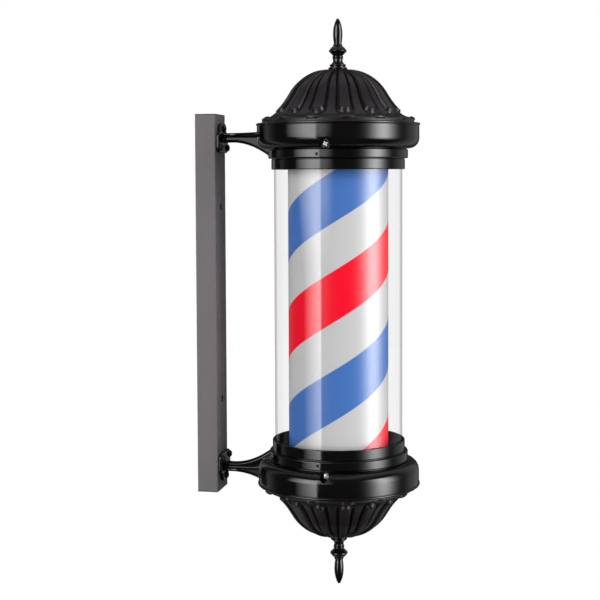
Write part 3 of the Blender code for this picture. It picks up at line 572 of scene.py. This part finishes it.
def bezier(controls, steps):
    """Points along a cubic curve."""
    points = []
    for step in range(steps + 1):
        t = step / steps
        weights = ((1 - t) ** 3, 3 * (1 - t) ** 2 * t, 3 * (1 - t) * t**2, t**3)
        points.append(tuple(sum(w * p[k] for w, p in zip(weights, controls)) for k in (0, 1)))
    return points


def cleaned(work):
    """A mesh from a bmesh, welded and with its faces pointing out."""
    bmesh.ops.remove_doubles(work, verts=work.verts, dist=1e-6)
    bmesh.ops.recalc_face_normals(work, faces=work.faces)
    mesh = bpy.data.meshes.new("shape")
    work.to_mesh(mesh)
    work.free()
    return mesh


def lathe(outline, segments=FINE, end=1):
    """A closed (radius, height) outline turned about Z. It may start and stop on the axis."""
    work = bmesh.new()
    points = [work.verts.new((radius * MM, 0, end * height * MM)) for radius, height in outline]
    edges = [work.edges.new(pair) for pair in zip(points, points[1:])]
    if outline[0][0] or outline[-1][0]:
        edges.append(work.edges.new((points[-1], points[0])))
    turn = {"axis": (0, 0, 1), "cent": (0, 0, 0), "angle": 2 * math.pi, "steps": segments}
    bmesh.ops.spin(work, geom=points + edges, use_merge=True, **turn)
    return cleaned(work)


def extruded(outlines, depth, edge=0.0, edge_steps=3):
    """A flat outline with its holes, given depth along Z and centred on it, with rounded edges."""
    curve = bpy.data.curves.new("outline", "CURVE")
    curve.dimensions = "2D"
    curve.fill_mode = "BOTH"
    curve.extrude = (depth / 2 - edge) * MM
    curve.bevel_depth = edge * MM
    curve.bevel_resolution = edge_steps - 1
    curve.offset = -edge * MM
    for outline in outlines:
        spline = curve.splines.new("POLY")
        spline.points.add(len(outline) - 1)
        spline.use_cyclic_u = True
        for point, (x, y) in zip(spline.points, outline):
            point.co = (x * MM, y * MM, 0, 1)
    return settled(bpy.data.objects.new("outline", curve))


def settled(obj):
    """The final mesh of a helper object, with its modifiers and welded. The helper is removed."""
    if not obj.users_collection:
        bpy.context.scene.collection.objects.link(obj)
    graph = bpy.context.evaluated_depsgraph_get()
    mesh = bpy.data.meshes.new_from_object(obj.evaluated_get(graph))
    bpy.data.objects.remove(obj)
    work = bmesh.new()
    work.from_mesh(mesh)
    bmesh.ops.remove_doubles(work, verts=work.verts, dist=1e-6)
    work.to_mesh(mesh)
    work.free()
    return mesh


def moved(mesh, matrix):
    """A mesh moved by a matrix, with its faces still pointing out after a mirror."""
    mesh.transform(matrix)
    if matrix.determinant() < 0:
        mesh.flip_normals()
    return mesh


def modified(mesh, kind, **settings):
    """A mesh after one modifier."""
    obj = bpy.data.objects.new("helper", mesh)
    modifier = obj.modifiers.new(kind, kind)
    for key, value in settings.items():
        setattr(modifier, key, value)
    return settled(obj)


def combined(mesh, others, operation):
    """A mesh after a Boolean with each of the others."""
    for other in others:
        helper = bpy.data.objects.new("other", other)
        bpy.context.scene.collection.objects.link(helper)
        mesh = modified(mesh, "BOOLEAN", operation=operation, solver="EXACT", object=helper)
        bpy.data.objects.remove(helper)
    return mesh


def drill(radius, start, stop, at, segments=SCREW_SEGMENTS):
    """A cylinder from start to stop along a matrix's Z."""
    work = bmesh.new()
    middle = Matrix.Translation((0, 0, (start + stop) / 2 * MM))
    bmesh.ops.create_cone(
        work,
        cap_ends=True,
        segments=segments,
        radius1=radius * MM,
        radius2=radius * MM,
        depth=(stop - start) * MM,
        matrix=at @ middle,
    )
    return cleaned(work)


def block(low, high, bevel=0.0, at=IN_PLACE):
    """A box between two corners, with its edges rounded."""
    size = [b - a for a, b in zip(low, high)]
    centre = Vector([(a + b) / 2 for a, b in zip(low, high)]) * MM
    work = bmesh.new()
    bmesh.ops.create_cube(work, size=MM, matrix=Matrix.Translation(centre) @ Matrix.Diagonal((*size, 1)))
    if bevel:
        bmesh.ops.bevel(work, geom=work.edges, offset=bevel * MM, segments=4, profile=0.5, affect="EDGES")
    work.transform(at)
    return cleaned(work)


def outward(turn, radius=0, height=0):
    """A matrix whose Z runs out from the lamp's axis, at a turn about it, in the lamp's own frame."""
    side = Matrix.Rotation(turn, 4, "Z") @ Matrix.Translation((radius * MM, 0, height * MM))
    return side @ SIDEWAYS


def piece(name, mesh, finish, at=LAMP, body="frame", stands_for=()):
    """A finished piece that rides on its body and stands for CAD nodes."""
    obj = bpy.data.objects.new(name, mesh)
    bpy.context.scene.collection.objects.link(obj)
    obj.matrix_world = at
    mesh.materials.clear()
    mesh.materials.append(LOOKS[finish])
    mesh.shade_smooth()
    mesh.set_sharp_from_angle(angle=SHARP)
    obj.modifiers.new("even_flats", "WEIGHTED_NORMAL").keep_sharp = True
    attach(obj, body)
    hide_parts(*stands_for)


# ---------------------------------------------------------------- collars, domes and finials


def collar_outline():
    """Lip, undercut, ring, two steps and their necks outside; seats and shoulder inside."""
    return rounded(
        [
            (LIP_R, TOP_Z, 1.4),
            (LIP_R, TOP_Z - 2.9, 1.2),
            (RING_R - 0.5, TOP_Z - 2.9, 0.25),
            (RING_R - 0.5, TOP_Z - 3.7, 0.25),
            (RING_R, TOP_Z - 3.7, 0.3),
            (RING_R, RING_BOTTOM, RING_CORNER),
            (MIDDLE_R - 2.2, RING_BOTTOM, 0.5),
            (MIDDLE_R - 2.2, RING_BOTTOM - 0.9, 0.3),
            (MIDDLE_R, RING_BOTTOM - 0.9, 1.6),
            (MIDDLE_R, MIDDLE_BOTTOM, 1.3),
            (RIM_R - 0.7, MIDDLE_BOTTOM, 0.4),
            (RIM_R - 0.7, MIDDLE_BOTTOM - 1.0, 0.3),
            (RIM_R, MIDDLE_BOTTOM - 1.0, 0.8),
            (RIM_R, RIM_Z, 1.0),
            (TUBE_R + GAP, RIM_Z, 0.6),
            (TUBE_R + GAP, SHOULDER, 0),
            (TUBE_R - 5.5, SHOULDER, 0.4),
            (TUBE_R - 5.5, SHOULDER + 3, 0),
            (TUBE_R + 4, SHOULDER + 3, 0),
            (TUBE_R + 4, CAVITY_Z, 0),
            (CAVITY_R, CAVITY_Z, 0),
            (CAVITY_R, SEAT_Z, 0),
            (SEAT_R, SEAT_Z, 0),
            (SEAT_R, TOP_Z, 0.4),
        ]
    )


def screw_centre(node):
    """A node's middle, as its turn about the lamp's axis and its height in millimetres."""
    low, high = span(node)
    middle = (low + high) / 2
    return math.atan2(middle.y, middle.x - AXIS), middle.z


def collar(name, end):
    """A turned ring with two screw pockets, two grub screw holes and its bolt's and cable's holes."""
    holes = []
    for side in ("front", "back"):
        turn, height = screw_centre(f"{name}_plate_screw_{side}")
        at = outward(turn, 0, height)
        holes.append(drill(POCKET_R, POCKET_FLOOR, LIP_R + PAST, at))
        holes.append(drill(M4_HOLE_R, *PLATE_HOLE_SPAN, at))
        turn, height = screw_centre(f"{name}_grub_screw_{side}")
        at = outward(turn, 0, height)
        holes.append(drill(GRUB_R + GAP, TUBE_R - PAST, MIDDLE_R + PAST, at, SMALL_SEGMENTS))
    turn, height = screw_centre(f"{name}_arm_bolt")
    holes.append(drill(M4_HOLE_R, INSIDE_R, LIP_R + PAST, outward(turn, 0, height), SMALL_SEGMENTS))
    if name == "lower":
        turn, height = screw_centre("cable_grommet")
        holes.append(drill(CABLE_HOLE_R, INSIDE_R, LIP_R + PAST, outward(turn, 0, height)))
    mesh = combined(lathe(collar_outline(), FINE, end), holes, "DIFFERENCE")
    piece(f"{name}_collar_turned", mesh, "gloss_black", stands_for=[f"{name}_collar"])


def across_petal(turn):
    """How far a turn is from the nearest petal's middle: 1 at the petal's edge, 2 between petals."""
    pitch = 2 * math.pi / PETALS
    return abs((turn + pitch / 2) % pitch - pitch / 2) / (pitch / 4)


def eased(value):
    """Runs from 0 to 1 with a level start and end, and stays there outside that range."""
    value = min(1, max(0, value))
    return value * value * (3 - 2 * value)


def petal_rise(turn, length, rim):
    """Height above the moats that part petals from channels, where 1 is a petal's face.

    A petal has steep sides and a rounded nose. The channel beyond its moat stands CHANNEL_RISE
    high, and rises to the rim, where an oval button stands under each petal.
    """
    beyond = max(0, length - (rim - NOSE_TO_RIM)) / PETAL_HALF
    outwards = math.hypot(across_petal(turn), beyond) - 1
    near_nose = min(1, beyond)
    crown = 1 + PETAL_CROWN * max(0, 1 - across_petal(turn) ** 2)
    face = crown * eased(-outwards / (PETAL_SLOPE + NOSE_SLOPE * near_nose))
    near_rim = eased((length - rim + LEDGE_TO_RIM) / LEDGE_SLOPE)
    ledge = CHANNEL_RISE + (LEDGE_RISE - CHANNEL_RISE) * near_rim
    beyond_moat = eased((outwards - MOAT) / (CHANNEL_SLOPE + CHANNEL_NOSE_SLOPE * near_nose))
    inside = 1 - math.hypot(across_petal(turn) / BUTTON_WIDTH, (length - rim + BUTTON_TO_RIM) / BUTTON_HALF)
    button = BUTTON_RISE * math.sqrt(min(1, inside / BUTTON_SLOPE)) if inside > 0 else 0
    return max(face, ledge * beyond_moat + button)


def dome_profile():
    """Evenly spaced (radius, height, length along the line) from the crown to the dome's foot."""
    rim = DOME_FLARE[3]
    fine = bezier(DOME_SHOULDER, CURVE_STEPS) + bezier(DOME_FLARE, CURVE_STEPS)[1:]
    fine.append((rim[0], rim[1] - DOME_FOOT))
    lengths = [0]
    for a, b in zip(fine, fine[1:]):
        lengths.append(lengths[-1] + math.dist(a, b))
    points, number = [], 0
    for row in range(DOME_ROWS + 1):
        target = lengths[-1] * row / DOME_ROWS
        while number < len(fine) - 2 and lengths[number + 1] < target:
            number += 1
        share = (target - lengths[number]) / (lengths[number + 1] - lengths[number])
        a, b = fine[number], fine[number + 1]
        points.append((a[0] + (b[0] - a[0]) * share, a[1] + (b[1] - a[1]) * share, target))
    return points


def dome_rows():
    """For each row: radius, height, the surface's outward direction, and the length along the dome."""
    line = dome_profile()
    rows = []
    for number, (radius, height, length) in enumerate(line):
        a, b = line[max(0, number - 1)], line[min(len(line) - 1, number + 1)]
        along = Vector((b[0] - a[0], b[1] - a[1])).normalized()
        rows.append((radius, height, Vector((-along.y, along.x)), length))
    return rows


def dome(name, end):
    """A cast shell: petals and buttons stand on its outside, and its inside is plain."""
    columns = PETALS * COLUMNS_IN_PETAL
    rows = dome_rows()
    rim = rows[-1][3] - DOME_FOOT
    rings = [[(FINIAL_HOLE_R, CROWN_Z - DOME_WALL)], [(FINIAL_HOLE_R, CROWN_Z)]]
    for radius, height, out, length in rows:
        crown = min(1, length / CROWN_FLAT)
        ring = []
        for column in range(columns):
            rise = petal_rise(2 * math.pi * column / columns, length, rim)
            sunk = PETAL_DEPTH * (1 - rise) * crown
            ring.append((radius - out.x * sunk, height - out.y * sunk))
        rings.append(ring)
    foot_r = rows[-1][0] - DOME_FOOT_INSET
    shell = PETAL_DEPTH + DOME_WALL
    inside_rows = rows[::INNER_ROW_STEP]
    inner = [(radius - out.x * shell, height - out.y * shell) for radius, height, out, _ in inside_rows]
    inner = [(radius, min(height, CROWN_Z - shell)) for radius, height in inner if radius > DOME_INSIDE_R]
    rings += [[(foot_r, DOME_FOOT_Z)], [(foot_r - DOME_FOOT_WALL, DOME_FOOT_Z)]]
    rings += [[point] for point in reversed(inner) if point[1] > DOME_FOOT_Z + 1]
    mesh = ringed(rings, columns, end)
    at = LAMP @ Matrix.Rotation(PETAL_TURN, 4, "Z")
    piece(f"{name}_dome_cast", mesh, "dome_black", at=at, stands_for=[f"{name}_dome"])


def ringed(rings, columns, end):
    """A closed skin over rings of (radius, height): one point each, or one for every column."""
    work = bmesh.new()
    made = []
    for ring in rings:
        points = []
        for column in range(columns):
            radius, height = ring[column % len(ring)]
            turn = 2 * math.pi * column / columns
            spot = (radius * math.cos(turn), radius * math.sin(turn), end * height)
            points.append(work.verts.new(Vector(spot) * MM))
        made.append(points)
    for ring, following in zip(made, made[1:] + made[:1]):
        for column in range(columns):
            beside = (column + 1) % columns
            work.faces.new((ring[column], ring[beside], following[beside], following[column]))
    return cleaned(work)


def finial_outline():
    """A spear, bead, sharp knop, double ring, neck and two foot rings, with a blind bolt hole."""
    spear = [(0, 63.2), (1.3, 62.6), (3.0, 59.5), (4.5, 55), (5.5, 50), (5.9, 43.5), (5.6, 38), (5.0, 33)]
    bead = [(4.9, 31.6), (4.9, 31.6), (5.8, 30.9), (5.9, 30.2), (5.4, 29.5), (5.4, 29.5)]
    knop = [(6.6, 28.5), (8.6, 26.8), (10.6, 24.2), (11.1, 23.0), (10.2, 21.4), (7.6, 19.0), (6.2, 17.4)]
    rings = [(6.0, 17.0), (6.0, 17.0), (6.8, 16.2), (6.9, 15.2), (6.1, 14.6), (6.1, 14.6)]
    rings += [(6.6, 13.9), (6.5, 13.0), (6.0, 12.6), (6.0, 12.6)]
    neck = [(6.0, 11.0), (6.6, 9.0), (8.3, 7.0), (8.3, 7.0)]
    foot = [(9.9, 6.2), (10.3, 5.2), (9.8, 4.2), (9.4, 4.0), (9.4, 4.0)]
    foot += [(9.4, 3.2), (9.4, 3.2), (11.0, 2.8), (11.8, 1.8), (11.6, 0.6), (11.0, 0)]
    curve = smooth(spear + bead + knop + rings + neck + foot, 4)
    curve += [(FINIAL_HOLE_R, 0), (FINIAL_HOLE_R, FINIAL_HOLE_DEPTH), (0, FINIAL_HOLE_DEPTH)]
    return [(radius, FINIAL_FOOT_Z + height) for radius, height in curve]


def finial(name, end):
    """A turned finial, which the dome's bolt screws into."""
    mesh = lathe(finial_outline(), FINIAL_SEGMENTS, end)
    piece(f"{name}_finial_turned", mesh, "gloss_black", stands_for=[f"{name}_finial"])


# ---------------------------------------------------------------- screws


def cross_screw(name, slot, head_r, head_height, shank_r, length, at, stands_for):
    """A pan-head screw with a cross recess, its head standing on Z = 0."""
    crown = [(0, 1), (0.45, 0.93), (0.82, 0.66)]
    head = smooth([(head_r * across, head_height * up) for across, up in crown])
    head += [(head_r * 0.97, head_height * 0.35), (head_r, SCREW_EDGE), (head_r, 0)]
    point = 2 * SCREW_EDGE
    shank = [(shank_r, 0), (shank_r, point - length), (shank_r - point, -length), (0, -length)]
    socket = head_r * CROSS_CENTRE
    centre = block((-socket, -socket, head_height * CROSS_FLOOR), (socket, socket, head_height + 1))
    arms = [moved(centre, Matrix.Rotation(math.pi / 4 + CROSS_TURN, 4, "Z"))]
    reach, half = head_r * CROSS_REACH, head_r * CROSS_WIDTH / 2
    for turn in (0, math.pi / 2):
        low = (-reach, -half, head_height * (1 - CROSS_DEPTH))
        high = (reach, half, head_height + 1)
        arms.append(block(low, high, at=Matrix.Rotation(turn + CROSS_TURN, 4, "Z")))
    mesh = combined(lathe(head + shank, SCREW_SEGMENTS), arms, "DIFFERENCE")
    piece(name, mesh, slot, at=at, stands_for=stands_for)


def plate_screws(name):
    """The plated screws on the floors of a collar's pockets."""
    for side in ("front", "back"):
        node = f"{name}_plate_screw_{side}"
        turn, height = screw_centre(node)
        at = LAMP @ outward(turn, POCKET_FLOOR + GAP, height)
        sizes = PLATE_SCREW_R, PLATE_SCREW_HEAD, M4_R, PLATE_SCREW_LENGTH
        cross_screw(f"{node}_cross", "plated_steel", *sizes, at, [node])


def grub_screws(name):
    """Socket screws, sunk below the collar's face, that steady the tube."""
    face = MIDDLE_R - GRUB_DEPTH
    length = face - TUBE_R - GAP
    point = 2 * SCREW_EDGE
    outline = [(0, 0), (GRUB_R - SCREW_EDGE, 0), (GRUB_R, -SCREW_EDGE)]
    outline += [(GRUB_R, point - length), (GRUB_R - point, -length), (0, -length)]
    for side in ("front", "back"):
        node = f"{name}_grub_screw_{side}"
        turn, height = screw_centre(node)
        socket = drill(GRUB_SOCKET_R, -GRUB_SOCKET_DEPTH, 1, IN_PLACE, 6)
        mesh = combined(lathe(outline, SMALL_SEGMENTS), [socket], "DIFFERENCE")
        at = LAMP @ outward(turn, face, height)
        piece(f"{node}_socket", mesh, "black_screw", at=at, stands_for=[node])


def arm_screws(name):
    """The screws that hold an arm's shield to the rail."""
    for number in (1, 2, 3):
        node = f"{name}_arm_screw_{number}"
        low, high = span(node)
        centre = (low + high) / 2
        head_x = high.x - ARM_SCREW_HEAD
        at = Matrix.Translation(Vector((head_x, centre.y, centre.z)) * MM) @ SIDEWAYS
        sizes = SCREW_HEAD_R, ARM_SCREW_HEAD, M4_R, head_x - low.x
        cross_screw(f"{node}_cross", "black_screw", *sizes, at, [node])


def arm_screw_holes(name, start, stop):
    """Drills for an arm's three screws, between two distances out from the wall."""
    holes = []
    for number in (1, 2, 3):
        low, high = span(f"{name}_arm_screw_{number}")
        centre = (low + high) / 2 * MM
        at = Matrix.Translation((0, centre.y, centre.z)) @ SIDEWAYS
        holes.append(drill(M4_HOLE_R, start, stop, at, ARM_HOLE_SEGMENTS))
    return holes


# ---------------------------------------------------------------- rail and arms


def wall_rail():
    """A box tube with rounded corners, its two wall holes, their access holes and the tapped holes."""
    half_x, half_y = RAIL_HIGH.x / 2, RAIL_HIGH.y
    corners = [(half_x, half_y), (-half_x, half_y), (-half_x, -half_y), (half_x, -half_y)]
    outer = rounded([(x, y, RAIL_CORNER) for x, y in corners])
    share_x, share_y = 1 - RAIL_WALL / half_x, 1 - RAIL_WALL / half_y
    inner = rounded([(x * share_x, y * share_y, RAIL_CORNER / 2) for x, y in corners])
    tube = moved(extruded([outer, inner], 2 * RAIL_HIGH.z), Matrix.Translation((half_x * MM, 0, 0)))
    holes = []
    for name, end in ENDS:
        at = Matrix.Translation((0, 0, end * WALL_HOLE_Z * MM)) @ SIDEWAYS
        holes.append(drill(WALL_HOLE_R, -PAST, half_x, at))
        holes.append(drill(ACCESS_HOLE_R, half_x, RAIL_HIGH.x + PAST, at))
        holes += arm_screw_holes(name, half_x, RAIL_HIGH.x + PAST)
    mesh = combined(tube, holes, "DIFFERENCE")
    piece("wall_rail_tube", mesh, "satin_black", at=IN_PLACE, stands_for=["wall_rail"])
    for name, end in (("top", 1), ("bottom", -1)):
        rail_cap(f"rail_cap_{name}", end)


def rail_cap(node, end):
    """A moulded plug whose thin flange covers the rail's end."""
    flange = block((0, -RAIL_HIGH.y, 0), (RAIL_HIGH.x, RAIL_HIGH.y, CAP_THICK), CAP_EDGE)
    low = (CAP_INSET, CAP_INSET - RAIL_HIGH.y, -CAP_DEPTH)
    high = (RAIL_HIGH.x - CAP_INSET, RAIL_HIGH.y - CAP_INSET, CAP_THICK / 2)
    plug = block(low, high, PLUG_EDGE)
    mesh = combined(flange, [plug], "UNION")
    stand = Matrix.Translation((0, 0, end * (RAIL_HIGH.z + GAP) * MM)) @ Matrix.Diagonal((1, 1, end, 1))
    mesh = moved(mesh, stand)
    piece(f"{node}_moulded", mesh, "satin_black", at=IN_PLACE, stands_for=[node])


def flange_outline():
    """The shield: its wide part towards the lamp's middle, its narrow part outside."""
    low, step, high = FLANGE_LOW.z + 4.6, FLANGE_LOW.z + 28.3, ARM_HIGH.z
    right = [(22.5, low, 7), (22.5, step, 4), (13, step + 4, 3), (13, high, 5)]
    return rounded(right + [(-y, z, radius) for y, z, radius in reversed(right)])


def arm_shield():
    """The flange that is screwed to the rail."""
    shield = extruded([flange_outline()], SHIELD_THICK, SHIELD_EDGE)
    middle = (FLANGE_LOW.x + SHIELD_THICK / 2) * MM
    return moved(shield, Matrix.Translation((middle, 0, 0)) @ UPRIGHT)


def arm_web():
    """The upright rib under the plate, whose lower edge is hollow."""
    root, foot = FLANGE_LOW.x, FLANGE_LOW.z
    hollow = []
    for step in range(ARM_STEPS + 1):
        t = step / ARM_STEPS
        hollow.append((root + WEB_START + WEB_RUN * t, foot + WEB_Z - WEB_DROP * t**2))
    start, end, top = root + ARM_LAP, root + WEB_END, foot + WEB_TOP_Z
    line = [(start, top), (end, top), (end, hollow[-1][1] - ARM_LAP)]
    line += [*reversed(hollow), (start, foot + WEB_ROOT_Z)]
    return moved(extruded([line], WEB_THICK, WEB_EDGE, 1), ON_EDGE)


def arm_plate():
    """The level plate, which flares towards the collar."""
    root, top = FLANGE_LOW.x, FLANGE_LOW.z + PLATE_Z
    half = [(root + ARM_LAP, PLATE_HALF)]
    for step in range(ARM_STEPS + 1):
        t = step / ARM_STEPS
        half.append((root + FLARE_START + FLARE_RUN * t, PLATE_HALF + FLARE_WIDTH * t**FLARE_POWER))
    half.append((root + PLATE_END, PLATE_HALF + FLARE_WIDTH))
    plate = extruded([half + [(x, -y) for x, y in reversed(half)]], PLATE_THICK, PLATE_EDGE)
    return moved(plate, Matrix.Translation((0, 0, (top - PLATE_THICK / 2) * MM)))


def arm(name, end):
    """A casting: shield, plate and web melted together with soft fillets, hollowed for the collar."""
    cast = combined(arm_shield(), [arm_web(), arm_plate()], "UNION")
    cast = modified(cast, "REMESH", mode="VOXEL", voxel_size=FILLET_GRID * MM)
    cast = modified(cast, "SMOOTH", factor=0.5, iterations=2)
    room = lathe([(0, TOP_Z + GAP), (LIP_R + GAP, TOP_Z + GAP), *outside_of_collar(), (0, RIM_Z)])
    bolt_z = abs(screw_centre(f"{name}_arm_bolt")[1])
    bolt_at = LAMP @ outward(math.pi, 0, bolt_z)
    holes = [moved(room, LAMP), drill(M4_HOLE_R, *ARM_BOLT_SPAN, bolt_at, SMALL_SEGMENTS)]
    holes += arm_screw_holes("upper", FLANGE_LOW.x - PAST, FLANGE_LOW.x + 2 * PAST)
    cast = moved(combined(cast, holes, "DIFFERENCE"), Matrix.Diagonal((1, 1, end, 1)))
    piece(f"{name}_arm_cast", cast, "gloss_black", at=IN_PLACE, stands_for=[f"{name}_arm"])


def outside_of_collar():
    """The collar's outer line, one gap larger, from under the lip to the rim."""
    line = collar_outline()
    under_lip = 6
    rim = min(range(len(line)), key=lambda number: (line[number][1], -line[number][0]))
    return [(radius + GAP, height) for radius, height in line[under_lip:rim]]


# ---------------------------------------------------------------- tube and drum


def glass_tube():
    """The clear tube, with softened ends."""
    inner = TUBE_R - TUBE_WALL
    outline = rounded(
        [
            (TUBE_R, TUBE_END, 0.5),
            (TUBE_R, -TUBE_END, 0.5),
            (inner, -TUBE_END, 0.5),
            (inner, TUBE_END, 0.5),
        ],
        3,
    )
    mesh = lathe(outline, TUBE_SEGMENTS)
    piece("glass_tube_clear", mesh, "clear_tube", stands_for=["glass_tube"])


def drum_sleeve():
    """The printed sleeve that turns inside the tube."""
    inner = DRUM_R - DRUM_WALL
    outline = [(DRUM_R, DRUM_END), (DRUM_R, -DRUM_END), (inner, -DRUM_END), (inner, DRUM_END)]
    mesh = lathe(outline, TUBE_SEGMENTS)
    piece("drum_sleeve_printed", mesh, "drum_film", body="drum", stands_for=["drum_sleeve"])


def dress_nodes():
    """Every CAD node that still shows gets the look of its own slot."""
    slots = {entry["node"]: entry["material_slot"] for entry in frame["record"]["subparts"]}
    for node, obj in frame["nodes"].items():
        if not obj.hide_render:
            obj.data.materials.clear()
            obj.data.materials.append(LOOKS[slots[node]])


# ---------------------------------------------------------------- camera and studio


def camera():
    """The camera looks along +Y turned by VIEW_TURN and tilted down, from a little left of the lamp."""
    back = Vector((math.sin(VIEW_TURN), -math.cos(VIEW_TURN), 0))
    right = Vector((math.cos(VIEW_TURN), math.sin(VIEW_TURN), 0))
    data = bpy.data.cameras.new("camera")
    data.lens = VIEW_LENS
    data.shift_y = VIEW_SHIFT
    obj = bpy.data.objects.new("camera", data)
    bpy.context.scene.collection.objects.link(obj)
    spot = LAMP.translation + back * VIEW_DISTANCE - right * VIEW_SIDE + Vector((0, 0, VIEW_HEIGHT))
    aim = Matrix.Rotation(VIEW_TURN, 4, "Z") @ Matrix.Rotation(math.pi / 2 - VIEW_TILT, 4, "X")
    obj.matrix_world = Matrix.Translation(spot) @ aim @ Matrix.Rotation(VIEW_ROLL, 4, "Z")
    bpy.context.scene.camera = obj


def soft_light(tree, turn, rise):
    """How bright the studio is in a direction, in degrees from the camera's side and up.

    A large panel stands to the left, with a dim fill beside it, and a strip to the right. The sides
    behind the lamp and the space overhead glow faintly.
    """
    crest = between(tree, rise, *CREST_RISE, PANEL_EDGE, PANEL_CREST)
    start = maths(tree, "SUBTRACT", crest, PANEL_WIDTH)
    slope = between(tree, turn, start, crest, 0.0, PANEL_LIGHT, smooth=False)
    panel = maths(tree, "MULTIPLY", slope, between(tree, turn, PANEL_EDGE + PANEL_SOFTNESS, PANEL_EDGE))
    fill = between(tree, turn, *FILL_TURN, 0.0, FILL_LIGHT)
    beside_panel = maths(tree, "MULTIPLY", fill, between(tree, turn, PANEL_EDGE, PANEL_EDGE + FILL_SOFTNESS))
    raised_fill = maths(tree, "MULTIPLY", beside_panel, between(tree, rise, *FILL_RISE))
    from_strip = maths(tree, "DIVIDE", maths(tree, "SUBTRACT", turn, STRIP_TURN), STRIP_SPREAD)
    bell = maths(tree, "EXPONENT", maths(tree, "MULTIPLY", maths(tree, "POWER", from_strip, 2.0), -1.0))
    strip = maths(tree, "MULTIPLY", bell, STRIP_LIGHT)
    lamps = maths(tree, "ADD", maths(tree, "ADD", panel, raised_fill), strip)
    window = maths(tree, "MULTIPLY", *(between(tree, rise, *edge) for edge in (LAMPS_FOOT, LAMPS_HEAD)))
    level = maths(tree, "MULTIPLY", lamps, window)
    overhead = between(tree, rise, *OVERHEAD_RISE, *OVERHEAD_LIGHT)
    away = maths(tree, "ABSOLUTE", turn)
    sides = maths(tree, "MULTIPLY", *(between(tree, away, *edge) for edge in (BEHIND_NEAR, BEHIND_FAR)))
    behind = maths(tree, "MULTIPLY", sides, BEHIND_LIGHT)
    return maths(tree, "ADD", level, maths(tree, "ADD", overhead, behind))


def studio():
    """A white surround to look at, and soft lights all round for the surfaces to mirror."""
    world = bpy.data.worlds.new("studio")
    bpy.context.scene.world = world
    world.use_nodes = True
    tree = world.node_tree
    tree.nodes.clear()
    way = put(tree, "ShaderNodeTexCoord").outputs["Generated"]
    parts = put(tree, "ShaderNodeSeparateXYZ", {0: way}).outputs
    turned = Matrix.Rotation(-CAMERA_TURN, 3, "Z")
    ahead = [maths(tree, "MULTIPLY", parts[k], -turned[1][k]) for k in (0, 1)]
    across = [maths(tree, "MULTIPLY", parts[k], turned[0][k]) for k in (0, 1)]
    turn = maths(tree, "ARCTAN2", maths(tree, "ADD", *across), maths(tree, "ADD", *ahead))
    rise = maths(tree, "ARCSINE", parts[2])
    light = soft_light(tree, *(maths(tree, "DEGREES", angle) for angle in (turn, rise)))
    lit = put(tree, "ShaderNodeBackground", {"Color": LIGHT_TINT, "Strength": light}).outputs[0]
    white = put(tree, "ShaderNodeBackground", {"Color": (1, 1, 1, 1), "Strength": 1.0}).outputs[0]
    seen = put(tree, "ShaderNodeLightPath").outputs["Is Camera Ray"]
    shown = put(tree, "ShaderNodeMixShader", {0: seen, 1: lit, 2: white}).outputs[0]
    put(tree, "ShaderNodeOutputWorld", {"Surface": shown})
    bpy.context.scene.view_settings.view_transform = "Standard"


def pale_floor(tree):
    """A lit paper floor with faint mottling."""
    tone = mixed(tree, grain(tree, 400), (0.97, 0.97, 0.97), (1.0, 1.0, 1.0))
    grey = (0.05, 0.05, 0.05, 1.0)
    return principled(tree, Base_Color=grey, Roughness=0.9, Emission_Color=tone, Emission_Strength=0.97)


def floor():
    """A plain pale floor well below the light."""
    work = bmesh.new()
    bmesh.ops.create_grid(work, x_segments=1, y_segments=1, size=FLOOR_SIZE / 2)
    mesh = cleaned(work)
    obj = bpy.data.objects.new("floor", mesh)
    bpy.context.scene.collection.objects.link(obj)
    obj.location = (0, 0, CAD_BOX[0].z - FLOOR_DROP)
    mesh.materials.append(look(pale_floor))
    obj.visible_glossy = False
    obj.visible_diffuse = False


wall_rail()
for end_name, end_sign in ENDS:
    collar(end_name, end_sign)
    dome(end_name, end_sign)
    finial(end_name, end_sign)
    plate_screws(end_name)
    grub_screws(end_name)
    arm_screws(end_name)
    arm(end_name, end_sign)
glass_tube()
drum_sleeve()
dress_nodes()
camera()
studio()
floor()
